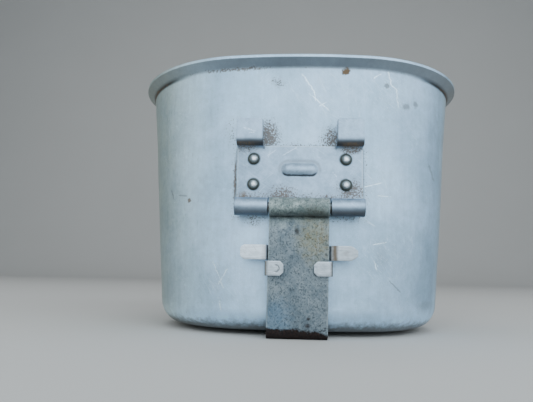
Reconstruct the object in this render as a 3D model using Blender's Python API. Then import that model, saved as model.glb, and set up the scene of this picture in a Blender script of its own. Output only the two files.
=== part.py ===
"""Kidney-plan aluminium canteen cup with a folding strap handle and a sliding latch.

Frame: metres, +Z up. X runs across the cup and x = 0 is its plane of symmetry. The front, which
carries the hinge and the handle, faces -Y. The origin lies under the middle of the bounding box,
at the level of the folded grip's underside, on which the cup stands.

Sheet-metal pieces (bracket, handle, latch) are a grid of cells on a bent centre surface, given
the sheet's thickness on both sides. Their bends are worked out in a side plane whose axes are
"out", the distance in front of the cup's front wall, and z.
"""
import math

import bmesh
import bpy
from mathutils import Matrix, Vector

# Cup body
RIM_WIDTH = 0.140
RIM_DEPTH = 0.092
CUP_HEIGHT = 0.1013
CUP_WALL = 0.0012
LIP_OVERHANG = 0.0036
LIP_SLANT = math.radians(36.5)
LIP_BEND = 0.0015
LIP_EDGE = 0.00035
FRONT_RADIUS = 0.195
FRONT_ARC_HALF = 0.0254
BACK_RADIUS = 0.065
SIDE_DRAFT = 0.0086
BACK_DRAFT = 0.0055
BASE_CORNER = 0.0085

# Clearances
CONTACT_GAP = 0.0003
KNUCKLE_GAP = 0.0007
LATCH_TRAVEL_GAP = 0.0005

# Hinge
HINGE_HEIGHT = 0.0441
PIN_RADIUS = 0.0016
CURL_TO_WALL = 0.0006

# Hinge bracket
BRACKET_SHEET = 0.0013
BRACKET_HALF = 0.0229
PLATE_BOTTOM = 0.0036
PLATE_TOP = 0.0227
HOOK_WIDTH = 0.0096
HOOK_BEND = 0.0016
HOOK_FLOOR = 0.0231
HOOK_TOP = 0.0319
HOOK_RELIEF = 0.0004
BUMP_HALF_WIDTH = 0.0066
BUMP_HALF_HEIGHT = 0.0026
BUMP_CENTRE = 0.0139
BUMP_FLANK = 0.0011
BUMP_RISE = 0.0007

# Rivets
RIVET_X = 0.0167
RIVET_LOW = 0.0085
RIVET_HIGH = 0.0179
RIVET_SHANK = 0.0012
RIVET_HEAD = 0.0021
RIVET_DOME = 0.0011
RIVET_TAIL = 0.0023
RIVET_TAIL_RISE = 0.0008

# Handle
HANDLE_SHEET = 0.0014
HANDLE_HALF = 0.0106
HANDLE_BEND = 0.0010
JOGGLE_DEPTH = 0.0078
GRIP_LENGTH = 0.0750
GRIP_END = 0.0106

# Latch
LATCH_SHEET = 0.0008
LATCH_BEND = 0.0010
TAB_START = 0.0135
TAB_HEIGHT = 0.0052
TAB_HALF_SPAN = 0.0205
TAB_ROUND = 0.0018
CLIP_HEIGHT = 0.0051
CLIP_REACH = 0.0053
CLIP_CHAMFER = 0.0012
LATCH_SLIT = 0.0004

# Follow from the sizes above
BORE_RADIUS = PIN_RADIUS + CONTACT_GAP
CURL_RADIUS = BORE_RADIUS + HANDLE_SHEET
HINGE_OUT = CURL_RADIUS + CURL_TO_WALL
BASE_Z = HANDLE_SHEET + CONTACT_GAP
AXIS_Z = BASE_Z + HINGE_HEIGHT
LIP_RISE = LIP_OVERHANG * math.tan(LIP_SLANT) + LIP_BEND * (1 - math.sin(LIP_SLANT)) / math.cos(LIP_SLANT)
LIP_FACE = (CUP_WALL - LIP_EDGE * (1 + math.sin(LIP_SLANT))) / math.cos(LIP_SLANT)
LIP_HEIGHT = LIP_RISE + LIP_FACE + LIP_EDGE
TOTAL_DEPTH = RIM_DEPTH + HINGE_OUT + CURL_RADIUS - LIP_OVERHANG
RIM_FRONT_Y = TOTAL_DEPTH / 2 - RIM_DEPTH
WALL_Y = RIM_FRONT_Y + LIP_OVERHANG
HOOK_INNER = BRACKET_HALF - HOOK_WIDTH
KNUCKLE_INNER = HANDLE_HALF + KNUCKLE_GAP
HOOK_LEAF_OUT = HINGE_OUT + CONTACT_GAP + BRACKET_SHEET / 2
CLIP_START = TAB_START + TAB_HEIGHT + LATCH_SLIT
LATCH_TRAVEL = HOOK_TOP + LATCH_TRAVEL_GAP - TAB_START


def clear_scene():
    """Remove the objects of the scene."""
    for item in list(bpy.data.objects):
        bpy.data.objects.remove(item, do_unlink=True)


def metal(name, colour, roughness, metallic=1.0):
    """A plain metal with the given colour."""
    material = bpy.data.materials.new(name)
    material.use_nodes = True
    shader = material.node_tree.nodes["Principled BSDF"]
    shader.inputs["Base Color"].default_value = (*colour, 1.0)
    shader.inputs["Roughness"].default_value = roughness
    shader.inputs["Metallic"].default_value = metallic
    return material


def finish_object(name, mesh_builder, material, sharp=40):
    """Make an object from a bmesh, with smooth faces and sharp edges where the surface turns."""
    bmesh.ops.recalc_face_normals(mesh_builder, faces=mesh_builder.faces)
    mesh = bpy.data.meshes.new(name)
    mesh_builder.to_mesh(mesh)
    mesh_builder.free()
    mesh.shade_smooth()
    mesh.set_sharp_from_angle(angle=math.radians(sharp))
    mesh.materials.append(material)
    item = bpy.data.objects.new(name, mesh)
    bpy.context.scene.collection.objects.link(item)
    return item


# --- Plan of the cup ---------------------------------------------------------------------------

def plan_arcs():
    """The rim's outline, as tangent arcs counter-clockwise from the left end of the front.

    Each arc is (centre x, centre y, radius, first angle, last angle, hollow side, segments). The
    side of a hollow arc is -1: its radius grows when the outline is inset.
    """
    front_angle = math.asin(FRONT_ARC_HALF / FRONT_RADIUS)
    front_centre = RIM_FRONT_Y + FRONT_RADIUS
    join_y = front_centre - FRONT_RADIUS * math.cos(front_angle)
    shoulder = (RIM_WIDTH / 2 - FRONT_ARC_HALF) / (1 - math.sin(front_angle))
    widest_y = join_y + shoulder * math.cos(front_angle)
    lobe = RIM_FRONT_Y + RIM_DEPTH - widest_y
    lobe_x = RIM_WIDTH / 2 - lobe
    shoulder_x = RIM_WIDTH / 2 - shoulder
    reach = lobe + BACK_RADIUS
    back_angle = math.asin(lobe_x / reach)
    back_centre = widest_y + reach * math.cos(back_angle)
    down = -math.pi / 2
    return [
        (0.0, front_centre, FRONT_RADIUS, down - front_angle, down + front_angle, 1, 8),
        (shoulder_x, widest_y, shoulder, down + front_angle, 0.0, 1, 11),
        (lobe_x, widest_y, lobe, 0.0, math.pi / 2 + back_angle, 1, 10),
        (0.0, back_centre, BACK_RADIUS, down + back_angle, down - back_angle, -1, 8),
        (-lobe_x, widest_y, lobe, math.pi / 2 - back_angle, math.pi, 1, 10),
        (-shoulder_x, widest_y, shoulder, math.pi, 3 * math.pi / 2 - front_angle, 1, 11),
    ]


def draft(z):
    """Scale of the plan across and from front to back at height z above the base."""
    straight = CUP_HEIGHT - LIP_HEIGHT
    drop = max(0.0, 1 - z / straight)
    half_width = RIM_WIDTH / 2 - LIP_OVERHANG
    depth = RIM_DEPTH - 2 * LIP_OVERHANG
    return 1 - drop * SIDE_DRAFT / half_width, 1 - drop * BACK_DRAFT / depth


def cup_section(inset, z):
    """The outline inset by a distance from the rim, at height z above the base."""
    across, along = draft(z)
    points = []
    for centre_x, centre_y, radius, first, last, side, segments in plan_arcs():
        for step in range(segments):
            angle = first + (last - first) * step / segments
            reach = radius - side * inset
            x = centre_x + reach * math.cos(angle)
            y = centre_y + reach * math.sin(angle)
            points.append(Vector((x * across, WALL_Y + (y - WALL_Y) * along, BASE_Z + z)))
    return points


def wall_recess(x, z):
    """How far the front wall's outer face lies behind its middle, at x and height z on the cup."""
    across, along = draft(z)
    plan_x = abs(x) / across
    front, shoulder = plan_arcs()[:2]
    arc = front if plan_x < FRONT_ARC_HALF else shoulder
    centre_x, centre_y, radius = arc[:3]
    reach = radius - LIP_OVERHANG
    y = centre_y - math.sqrt(reach ** 2 - (plan_x - centre_x) ** 2)
    return (y - WALL_Y) * along


# --- Cup body ----------------------------------------------------------------------------------

def cup_profile():
    """Insets and heights up the outer face, round the flared lip and down the inner face."""
    corner_steps, bend_steps, edge_steps = 5, 5, 4
    inner_radius = BASE_CORNER - CUP_WALL
    corner_inset = LIP_OVERHANG + BASE_CORNER
    quarter = [math.pi / 2 * step / corner_steps for step in range(corner_steps + 1)]
    bend = [(math.pi / 2 - LIP_SLANT) * step / bend_steps for step in range(bend_steps + 1)]
    edge = [(math.pi / 2 + LIP_SLANT) * step / edge_steps for step in range(edge_steps + 1)]
    bend_inset, bend_z = LIP_OVERHANG - LIP_BEND, CUP_HEIGHT - LIP_HEIGHT
    rows = []
    for angle in quarter:
        rows.append((corner_inset - BASE_CORNER * math.sin(angle),
                     BASE_CORNER - BASE_CORNER * math.cos(angle)))
    for angle in bend:
        rows.append((bend_inset + LIP_BEND * math.cos(angle), bend_z + LIP_BEND * math.sin(angle)))
    rows.append((0.0, bend_z + LIP_RISE))
    for angle in edge:
        rows.append((LIP_EDGE - LIP_EDGE * math.cos(angle),
                     CUP_HEIGHT - LIP_EDGE + LIP_EDGE * math.sin(angle)))
    for angle in reversed(bend):
        reach = LIP_BEND + CUP_WALL
        rows.append((bend_inset + reach * math.cos(angle), bend_z + reach * math.sin(angle)))
    for angle in reversed(quarter):
        rows.append((corner_inset - inner_radius * math.sin(angle),
                     BASE_CORNER - inner_radius * math.cos(angle)))
    return rows


def make_cup_body(material):
    """The drawn vessel with its flared lip and four rivet holes."""
    builder = bmesh.new()
    rings = []
    for inset, z in cup_profile():
        rings.append([builder.verts.new(point) for point in cup_section(inset, z)])
    count = len(rings[0])
    for lower, upper in zip(rings, rings[1:]):
        for index in range(count):
            following = (index + 1) % count
            builder.faces.new((lower[index], lower[following], upper[following], upper[index]))
    builder.faces.new(list(reversed(rings[0])))
    builder.faces.new(rings[-1])
    cup = finish_object("cup_body", builder, material)
    cut_rivet_holes(cup, "cup")
    return cup


# --- Rivets ------------------------------------------------------------------------------------

def rivet_places():
    """Name, x and height above the hinge axis of each rivet."""
    places = []
    for side, x in (("left", -RIVET_X), ("right", RIVET_X)):
        for level, height in (("upper", RIVET_HIGH), ("lower", RIVET_LOW)):
            places.append((f"rivet_{level}_{side}", x, height))
    return places


def rivet_frame(x, height):
    """Matrix that stands local +Z along the wall's outward normal, from its outer face."""
    z = HINGE_HEIGHT + height
    step = 0.0005
    slope = (wall_recess(x + step, z) - wall_recess(x - step, z)) / (2 * step)
    normal = Vector((slope, -1.0, 0.0)).normalized()
    turn = normal.to_track_quat("Z", "Y").to_matrix().to_4x4()
    return Matrix.Translation((x, WALL_Y + wall_recess(x, z), BASE_Z + z)) @ turn


def lathe(profile, segments):
    """Turn a profile of (radius, height) pairs, which starts and ends on the axis, into a bmesh."""
    builder = bmesh.new()
    bottom = builder.verts.new((0.0, 0.0, profile[0][1]))
    top = builder.verts.new((0.0, 0.0, profile[-1][1]))
    rings = []
    for radius, height in profile[1:-1]:
        ring = []
        for index in range(segments):
            angle = 2 * math.pi * index / segments
            ring.append(builder.verts.new((radius * math.cos(angle), radius * math.sin(angle), height)))
        rings.append(ring)
    for index in range(segments):
        following = (index + 1) % segments
        builder.faces.new((bottom, rings[0][following], rings[0][index]))
        for lower, upper in zip(rings, rings[1:]):
            builder.faces.new((lower[index], lower[following], upper[following], upper[index]))
        builder.faces.new((top, rings[-1][index], rings[-1][following]))
    return builder


def cut_rivet_holes(target, label):
    """Cut the four rivet holes through a sheet with hidden cylinders."""
    radius = RIVET_SHANK + CONTACT_GAP
    reach = 0.004
    for name, x, height in rivet_places():
        builder = lathe([(0, -reach), (radius, -reach), (radius, reach), (0, reach)], 20)
        cutter = finish_object(f"{label}_{name}_cutter", builder, target.data.materials[0])
        cutter.matrix_world = rivet_frame(x, height)
        cutter.hide_render = True
        cutter.display_type = "WIRE"
        cut = target.modifiers.new(name, "BOOLEAN")
        cut.operation = "DIFFERENCE"
        cut.solver = "EXACT"
        cut.object = cutter


def make_rivets(material):
    """Four domed rivets with flat tails inside the cup."""
    head_seat = CONTACT_GAP + BRACKET_SHEET + CONTACT_GAP
    tail_seat = -CUP_WALL - CONTACT_GAP
    profile = [
        (0, tail_seat - RIVET_TAIL_RISE),
        (0.7 * RIVET_TAIL, tail_seat - RIVET_TAIL_RISE),
        (RIVET_TAIL, tail_seat - 0.5 * RIVET_TAIL_RISE),
        (RIVET_TAIL, tail_seat),
        (RIVET_SHANK, tail_seat),
        (RIVET_SHANK, head_seat),
        (RIVET_HEAD, head_seat),
    ]
    dome_steps = 4
    for step in range(1, dome_steps):
        angle = math.pi / 2 * step / dome_steps
        profile.append((RIVET_HEAD * math.cos(angle), head_seat + RIVET_DOME * math.sin(angle)))
    profile.append((0, head_seat + RIVET_DOME))
    for name, x, height in rivet_places():
        rivet = finish_object(name, lathe(profile, 20), material)
        rivet.matrix_world = rivet_frame(x, height)


# --- Bent sheet --------------------------------------------------------------------------------

def sheet_solid(name, cells, place, thickness, material):
    """A sheet of quads on the surface that place() gives, thick on both sides of it.

    place() turns a key into (point, normal). A cell's four keys run round it.
    """
    builder = bmesh.new()
    front, back, border = {}, {}, {}
    for cell in cells:
        for key in cell:
            if key not in front:
                point, normal = place(key)
                front[key] = builder.verts.new(point + normal * thickness / 2)
                back[key] = builder.verts.new(point - normal * thickness / 2)
        builder.faces.new([front[key] for key in cell])
        builder.faces.new([back[key] for key in reversed(cell)])
        for first, second in zip(cell, cell[1:] + cell[:1]):
            edge = frozenset((first, second))
            border[edge] = None if edge in border else (first, second)
    for pair in border.values():
        if pair:
            first, second = pair
            builder.faces.new((front[second], front[first], back[first], back[second]))
    return finish_object(name, builder, material)


def side_point(x, out, z, out_normal, z_normal):
    """A point and normal of the side plane at x, in world space. z is above the base."""
    normal = Vector((0.0, -out_normal, z_normal)).normalized()
    return Vector((x, WALL_Y - out, BASE_Z + z)), normal


def arc_points(centre, radius, first, last, steps):
    """Points of an arc in a plane, both ends included."""
    angles = [first + (last - first) * step / steps for step in range(steps + 1)]
    return [(centre[0] + radius * math.cos(a), centre[1] + radius * math.sin(a)) for a in angles]


def path_normals(points):
    """Points of a plane path with unit normals on the right-hand side of its direction."""
    result = []
    for index, (u, v) in enumerate(points):
        before = points[max(0, index - 1)]
        after = points[min(len(points) - 1, index + 1)]
        du, dv = after[0] - before[0], after[1] - before[1]
        length = math.hypot(du, dv)
        result.append((u, v, dv / length, -du / length))
    return result


def tangent_angle(point, centre, radius, turn):
    """Angle on a circle at which the line from an outside point touches it."""
    du, dv = point[0] - centre[0], point[1] - centre[1]
    return math.atan2(dv, du) + turn * math.acos(radius / math.hypot(du, dv))


# --- Hinge bracket -----------------------------------------------------------------------------

def plate_out(x, z):
    """Where the middle of the bracket's sheet lies in front of the cup's front, at x and z."""
    return CONTACT_GAP + BRACKET_SHEET / 2 - wall_recess(x, z)


def bump_rise(x, z):
    """Height of the pressed bump: full inside its flat top, nothing outside its flank."""
    over_x = abs(x) - BUMP_HALF_WIDTH + BUMP_FLANK
    over_z = abs(z - HINGE_HEIGHT - BUMP_CENTRE) - BUMP_HALF_HEIGHT + BUMP_FLANK
    over = max(over_x, over_z, 0.0) / BUMP_FLANK
    return BUMP_RISE * max(0.0, 1 - over)


def bracket_columns():
    """x of the bracket's grid lines, left to right."""
    right = [0.0, 0.5 * BUMP_HALF_WIDTH, BUMP_HALF_WIDTH - BUMP_FLANK, BUMP_HALF_WIDTH,
             0.5 * (BUMP_HALF_WIDTH + KNUCKLE_INNER), KNUCKLE_INNER, HOOK_INNER - HOOK_RELIEF, HOOK_INNER]
    right += [HOOK_INNER + HOOK_WIDTH * step / 4 for step in range(1, 5)]
    return sorted({-x for x in right} | set(right))


def plate_rows():
    """Heights of the plate's grid lines. The hooks leave the plate at the last one but one."""
    bump_low = BUMP_CENTRE - BUMP_HALF_HEIGHT
    bump_high = BUMP_CENTRE + BUMP_HALF_HEIGHT
    rows = [PLATE_BOTTOM, 0.5 * (PLATE_BOTTOM + bump_low), bump_low, bump_low + BUMP_FLANK, BUMP_CENTRE,
            bump_high - BUMP_FLANK, bump_high, 0.5 * (bump_high + HOOK_FLOOR - HOOK_BEND),
            HOOK_FLOOR - HOOK_BEND, PLATE_TOP]
    return [HINGE_HEIGHT + row for row in rows]


def knuckle_path(x):
    """From the curl's free end on top, round the pin and up to the plate."""
    centre = (HINGE_OUT, HINGE_HEIGHT)
    radius = BORE_RADIUS + BRACKET_SHEET / 2
    start_z = HINGE_HEIGHT + PLATE_BOTTOM
    start = (plate_out(x, start_z), start_z)
    touch = tangent_angle(start, centre, radius, 1)
    free_end = touch % (2 * math.pi) + math.radians(292)
    return path_normals(arc_points(centre, radius, free_end, touch % (2 * math.pi), 14) + [start])


def hook_path(x):
    """From the plate, forward under the pocket and up the hook's leaf."""
    floor = HINGE_HEIGHT + HOOK_FLOOR
    start = (plate_out(x, floor - HOOK_BEND), floor - HOOK_BEND)
    lower = arc_points((start[0] + HOOK_BEND, start[1]), HOOK_BEND, math.pi, math.pi / 2, 4)
    upper = arc_points((HOOK_LEAF_OUT - HOOK_BEND, floor + HOOK_BEND), HOOK_BEND, -math.pi / 2, 0.0, 5)
    top = HINGE_HEIGHT + HOOK_TOP
    halfway = 0.5 * (top + floor + HOOK_BEND)
    return path_normals(lower + upper + [(HOOK_LEAF_OUT, halfway), (HOOK_LEAF_OUT, top)])


def make_hinge_bracket(material):
    """The riveted plate with its two knuckles, two hooks and pressed bump, as one sheet."""
    columns = bracket_columns()
    rows = plate_rows()
    leave = len(rows) - 2
    knuckles = [knuckle_path(x) for x in columns]
    hooks = [hook_path(x) for x in columns]

    def in_knuckle(column):
        return min(abs(columns[column]), abs(columns[column + 1])) > KNUCKLE_INNER - 1e-6

    def in_hook(column):
        return min(abs(columns[column]), abs(columns[column + 1])) > HOOK_INNER - 1e-6

    def in_relief(column):
        middle = 0.5 * abs(columns[column] + columns[column + 1])
        return HOOK_INNER - HOOK_RELIEF < middle < HOOK_INNER

    def key(part, column, row):
        if part == "knuckle" and row == len(knuckles[0]) - 1:
            return ("plate", column, 0)
        if part == "hook" and row == 0:
            return ("plate", column, leave)
        return (part, column, row)

    def strip(part, column, count):
        return [(key(part, column, row), key(part, column + 1, row),
                 key(part, column + 1, row + 1), key(part, column, row + 1)) for row in range(count)]

    cells = []
    for column in range(len(columns) - 1):
        plate_cells = leave if in_hook(column) or in_relief(column) else leave + 1
        cells += strip("plate", column, plate_cells)
        if in_knuckle(column):
            cells += strip("knuckle", column, len(knuckles[0]) - 1)
        if in_hook(column):
            cells += strip("hook", column, len(hooks[0]) - 1)

    def place(item):
        part, column, row = item
        x = columns[column]
        if part == "plate":
            z = rows[row]
            return side_point(x, plate_out(x, z) + bump_rise(x, z), z, 1.0, 0.0)
        return side_point(x, *(knuckles if part == "knuckle" else hooks)[column][row])

    bracket = sheet_solid("hinge_bracket", cells, place, BRACKET_SHEET, material)
    cut_rivet_holes(bracket, "bracket")
    return bracket


def make_hinge_pin(material):
    """The plain pin through the three knuckles."""
    half, edge = BRACKET_HALF, 0.0003
    profile = [(0, -half), (PIN_RADIUS - edge, -half), (PIN_RADIUS, edge - half),
               (PIN_RADIUS, half - edge), (PIN_RADIUS - edge, half), (0, half)]
    pin = finish_object("hinge_pin", lathe(profile, 24), material)
    pin.matrix_world = Matrix.Translation(hinge_point()) @ Matrix.Rotation(math.pi / 2, 4, "Y")
    return pin


def hinge_point():
    """The middle of the hinge axis."""
    return Vector((0.0, WALL_Y - HINGE_OUT, AXIS_Z))


# --- Handle ------------------------------------------------------------------------------------

def handle_path():
    """From the curl's free end, over the pin, down the front and back under the base."""
    centre = (HINGE_OUT, HINGE_HEIGHT)
    radius = BORE_RADIUS + HANDLE_SHEET / 2
    strap_out = HINGE_OUT - HANDLE_SHEET / 2
    start = (strap_out, HINGE_HEIGHT - JOGGLE_DEPTH)
    touch = tangent_angle(start, centre, radius, -1) % (2 * math.pi)
    curl = arc_points(centre, radius, math.radians(-98), touch, 15)
    bend = HANDLE_BEND + HANDLE_SHEET / 2
    grip_z = -CONTACT_GAP - HANDLE_SHEET / 2
    corner = arc_points((strap_out - bend, grip_z + bend), bend, 0.0, -math.pi / 2, 5)
    end_out = HINGE_OUT - GRIP_LENGTH
    straight = [(strap_out - bend - (strap_out - bend - end_out - GRIP_END) * step / 3, grip_z)
                for step in range(1, 4)]
    tip = [(end_out + GRIP_END * (1 - math.sin(angle)), grip_z)
           for angle in (math.pi / 2 * step / 8 for step in range(1, 8))]
    return path_normals(curl + [start] + corner + straight + tip)


def make_handle(material):
    """One strap: curled knuckle, joggle, front strap, bend and round-ended grip."""
    path = handle_path()
    tip_start = HINGE_OUT - GRIP_LENGTH + GRIP_END
    under_base = -HANDLE_SHEET / 2

    def half_width(out, z):
        over = (tip_start - out) / GRIP_END
        if z > under_base or over <= 0:
            return HANDLE_HALF
        return HANDLE_HALF * math.sqrt(max(0.0, 1 - over ** 2))

    def place(item):
        column, row = item
        out, z, out_normal, z_normal = path[row]
        return side_point((column - 1) * half_width(out, z), out, z, out_normal, z_normal)

    cells = [((column, row), (column + 1, row), (column + 1, row + 1), (column, row + 1))
             for column in range(2) for row in range(len(path) - 1)]
    handle = sheet_solid("handle", cells, place, HANDLE_SHEET, material)
    set_origin(handle, hinge_point())
    return handle


def set_origin(item, point):
    """Move an object's origin without moving its mesh."""
    item.data.transform(Matrix.Translation(-point))
    item.location = point


# --- Latch -------------------------------------------------------------------------------------

def latch_half_paths():
    """The right half of the latch's two bands in plan, as (x, out) points from the middle."""
    back_out = HINGE_OUT - HANDLE_SHEET - CONTACT_GAP - LATCH_SHEET / 2
    tab_out = HINGE_OUT + LATCH_SHEET / 2
    lip_out = HINGE_OUT + CONTACT_GAP + LATCH_SHEET / 2
    riser = HANDLE_HALF + CONTACT_GAP + LATCH_SHEET / 2 + 0.0002
    bend = LATCH_BEND
    back = [(0.0, back_out), (0.45 * riser, back_out), (0.85 * riser, back_out)]
    turn = arc_points((riser - bend, back_out + bend), bend, -math.pi / 2, 0.0, 4)
    tab = arc_points((riser + bend, tab_out - bend), bend, math.pi, math.pi / 2, 4)
    tab.append((TAB_HALF_SPAN - TAB_ROUND, tab_out))
    tab += [(TAB_HALF_SPAN - TAB_ROUND * (1 - math.sin(angle)), tab_out)
            for angle in (math.pi / 8, math.pi / 4, 3 * math.pi / 8, math.pi / 2)]
    lip = arc_points((riser - bend, lip_out - bend), bend, 0.0, math.pi / 2, 4)
    lip += [(CLIP_REACH + CLIP_CHAMFER, lip_out), (CLIP_REACH, lip_out)]
    return back + turn + tab, back + turn + lip, len(back) - 1


def make_latch(material):
    """The sliding latch: a band with two tabs and a band with two clips, joined behind the strap."""
    tab_half, clip_half, shared = latch_half_paths()
    tab_path = path_normals([(-x, out) for x, out in reversed(tab_half[1:])] + tab_half)
    clip_path = path_normals([(-x, out) for x, out in reversed(clip_half[1:])] + clip_half)
    tab_middle, clip_middle = len(tab_half) - 1, len(clip_half) - 1
    tab_top = HINGE_HEIGHT - TAB_START
    clip_top = HINGE_HEIGHT - CLIP_START
    tab_heights = [tab_top - TAB_HEIGHT, tab_top - TAB_HEIGHT / 2, tab_top]
    clip_heights = [clip_top - CLIP_HEIGHT, clip_top - CLIP_HEIGHT / 2, clip_top]

    def trim(band, index, x):
        if band == "tab":
            over = max(0.0, (abs(x) - TAB_HALF_SPAN + TAB_ROUND) / TAB_ROUND)
            return TAB_ROUND * (1 - math.sqrt(max(0.0, 1 - over ** 2)))
        at_end = abs(index) == clip_middle
        return CLIP_CHAMFER if at_end else 0.0

    def place(item):
        band, index, row = item
        path, middle, heights = (tab_path, tab_middle, tab_heights)
        if band == "clip" or (band == "back" and row < 0):
            path, middle, heights = (clip_path, clip_middle, clip_heights)
        x, out, x_normal, out_normal = path[middle + index]
        level = row + 3 if row < 0 else row
        z = heights[level] + (1 - level) * trim(band, index, x)
        normal = Vector((x_normal, -out_normal, 0.0)).normalized()
        return Vector((x, WALL_Y - out, BASE_Z + z)), normal

    def key(band, index, row):
        return ("back" if abs(index) <= shared else band, index, row)

    def band_cells(band, middle, rows):
        return [(key(band, index, row), key(band, index + 1, row),
                 key(band, index + 1, row + 1), key(band, index, row + 1))
                for index in range(-middle, middle) for row in rows]

    cells = band_cells("tab", tab_middle, (0, 1)) + band_cells("clip", clip_middle, (-3, -2))
    cells += band_cells("back", shared, (-1,))
    latch = sheet_solid("latch", cells, place, LATCH_SHEET, material)
    set_origin(latch, Vector((0.0, WALL_Y - HINGE_OUT, AXIS_Z - TAB_START)))
    return latch


def main():
    clear_scene()
    aluminium = metal("drawn_aluminium", (0.62, 0.64, 0.68), 0.42)
    bracket_metal = metal("bracket_aluminium", (0.50, 0.52, 0.55), 0.45)
    rivet_metal = metal("rivet_aluminium", (0.70, 0.71, 0.72), 0.35)
    pin_metal = metal("pin_steel", (0.35, 0.34, 0.32), 0.50)
    strap_metal = metal("pitted_steel", (0.33, 0.36, 0.37), 0.55)
    latch_metal = metal("bright_steel", (0.66, 0.65, 0.62), 0.32)
    make_cup_body(aluminium)
    make_hinge_bracket(bracket_metal)
    make_rivets(rivet_metal)
    make_hinge_pin(pin_metal)
    handle = make_handle(strap_metal)
    latch = make_latch(latch_metal)
    latch.parent = handle
    latch.matrix_parent_inverse = Matrix.Translation(-hinge_point())


main()
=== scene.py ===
"""The looks of a kidney-shaped aluminium canteen cup with a folding strap handle and its latch.

Lengths are millimetres until a mesh is made. X runs across the cup, its front with the hinge
faces -Y, and Z points up. "Out" is the distance in front of the middle of the cup's front wall.
"""
import math

import bpy
import numpy as np
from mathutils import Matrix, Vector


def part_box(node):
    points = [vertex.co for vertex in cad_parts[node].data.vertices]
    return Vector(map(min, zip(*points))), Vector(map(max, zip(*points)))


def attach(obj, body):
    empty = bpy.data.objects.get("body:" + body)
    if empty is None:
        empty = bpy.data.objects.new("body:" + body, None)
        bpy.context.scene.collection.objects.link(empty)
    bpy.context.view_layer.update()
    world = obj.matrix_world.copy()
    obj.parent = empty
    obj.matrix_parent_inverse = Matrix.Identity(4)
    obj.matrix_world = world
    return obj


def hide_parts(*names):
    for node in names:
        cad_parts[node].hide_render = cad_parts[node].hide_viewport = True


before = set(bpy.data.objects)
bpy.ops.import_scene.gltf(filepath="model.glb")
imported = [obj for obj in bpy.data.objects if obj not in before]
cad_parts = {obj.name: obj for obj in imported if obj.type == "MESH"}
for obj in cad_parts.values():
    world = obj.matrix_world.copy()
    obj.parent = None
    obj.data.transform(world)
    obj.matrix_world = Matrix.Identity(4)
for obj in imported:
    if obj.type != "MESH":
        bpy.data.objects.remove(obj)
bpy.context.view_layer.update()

MM = 0.001


def node_box(node):
    """Lowest and highest corner of a CAD node, in millimetres."""
    return [np.array(corner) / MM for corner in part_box(node)]


# --- Sizes -------------------------------------------------------------------------------------

# Cup
CUP_LOW, CUP_HIGH = node_box("cup_body")
CUP_WALL = 1.2
LIP_OVERHANG = 3.6
LIP_SLANT = math.radians(36.5)
LIP_BEND = 1.5
LIP_EDGE = 0.35
LIP_CORNER = 0.15
LIP_BEND_STEPS = 12
FRONT_RADIUS = 195.0
FRONT_ARC_HALF = 25.4
BACK_RADIUS = 65.0
SIDE_DRAFT = 8.6
BACK_DRAFT = 5.5
BASE_CORNER = 8.5
BASE_CENTRE_BACK = 36.0
RING_SPACING = 0.95
RIM_HALF = CUP_HIGH[0]
RIM_FRONT = CUP_LOW[1]
RIM_DEPTH = CUP_HIGH[1] - CUP_LOW[1]
BASE_Z = CUP_LOW[2]
CUP_HEIGHT = CUP_HIGH[2] - CUP_LOW[2]
LIP_RISE = LIP_OVERHANG * math.tan(LIP_SLANT) + LIP_BEND * (1 - math.sin(LIP_SLANT)) / math.cos(LIP_SLANT)
LIP_FACE = (CUP_WALL - LIP_EDGE * (1 + math.sin(LIP_SLANT))) / math.cos(LIP_SLANT)
LIP_HEIGHT = LIP_RISE + LIP_FACE + LIP_EDGE
WALL_Y = RIM_FRONT + LIP_OVERHANG
LIP_ROOT = BASE_Z + CUP_HEIGHT - LIP_HEIGHT

# Hinge
PIN_LOW, PIN_HIGH = node_box("hinge_pin")
AXIS_Z = (PIN_LOW[2] + PIN_HIGH[2]) / 2
HINGE_OUT = WALL_Y - (PIN_LOW[1] + PIN_HIGH[1]) / 2
PIN_RADIUS = (PIN_HIGH[2] - PIN_LOW[2]) / 2
FIT_GAP = 0.3
BORE_RADIUS = PIN_RADIUS + FIT_GAP

# Bracket
BRACKET_HIGH = node_box("hinge_bracket")[1]
BRACKET_SHEET = 1.3
BRACKET_HALF = BRACKET_HIGH[0]
KNUCKLE_WRAP = math.radians(292)
HOOK_TOP = BRACKET_HIGH[2]
HOOK_WIDTH = 9.6
HOOK_INNER = BRACKET_HALF - HOOK_WIDTH
HOOK_RELIEF = 0.4
HOOK_BEND = 1.6
HOOK_CORNER = 0.9
HOOK_FLOOR = AXIS_Z + 23.1
HOOK_LEAF_OUT = HINGE_OUT + FIT_GAP + BRACKET_SHEET / 2
PLATE_BOTTOM = AXIS_Z + 3.6
PLATE_TOP = AXIS_Z + 22.7
BUMP_Z = AXIS_Z + 13.9
BUMP_HALF_WIDTH = 6.5
BUMP_HALF_HEIGHT = 2.3
BUMP_RISE = 0.95
BUMP_FLANK = 0.55

# Rivets
RIVET_X = 16.7
RIVET_HEIGHTS = {"lower": AXIS_Z + 8.5, "upper": AXIS_Z + 17.9}
RIVET_HEAD = 2.1
RIVET_DOME = 1.25
RIVET_SHANK = 1.2
RIVET_TAIL = 2.3

# Handle
HANDLE_HIGH = node_box("handle")[1]
HANDLE_SHEET = BASE_Z - FIT_GAP
HANDLE_HALF = HANDLE_HIGH[0]
HANDLE_BEND = 1.0
JOGGLE_DEPTH = 7.8
CURL_START = math.radians(-98)
CURL_STEPS = 70
GRIP_END = 10.6
GRIP_TIP_OUT = WALL_Y - HANDLE_HIGH[1]
HANDLE_LEAN = 0.010
KNUCKLE_INNER = HANDLE_HALF + 0.7

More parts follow.
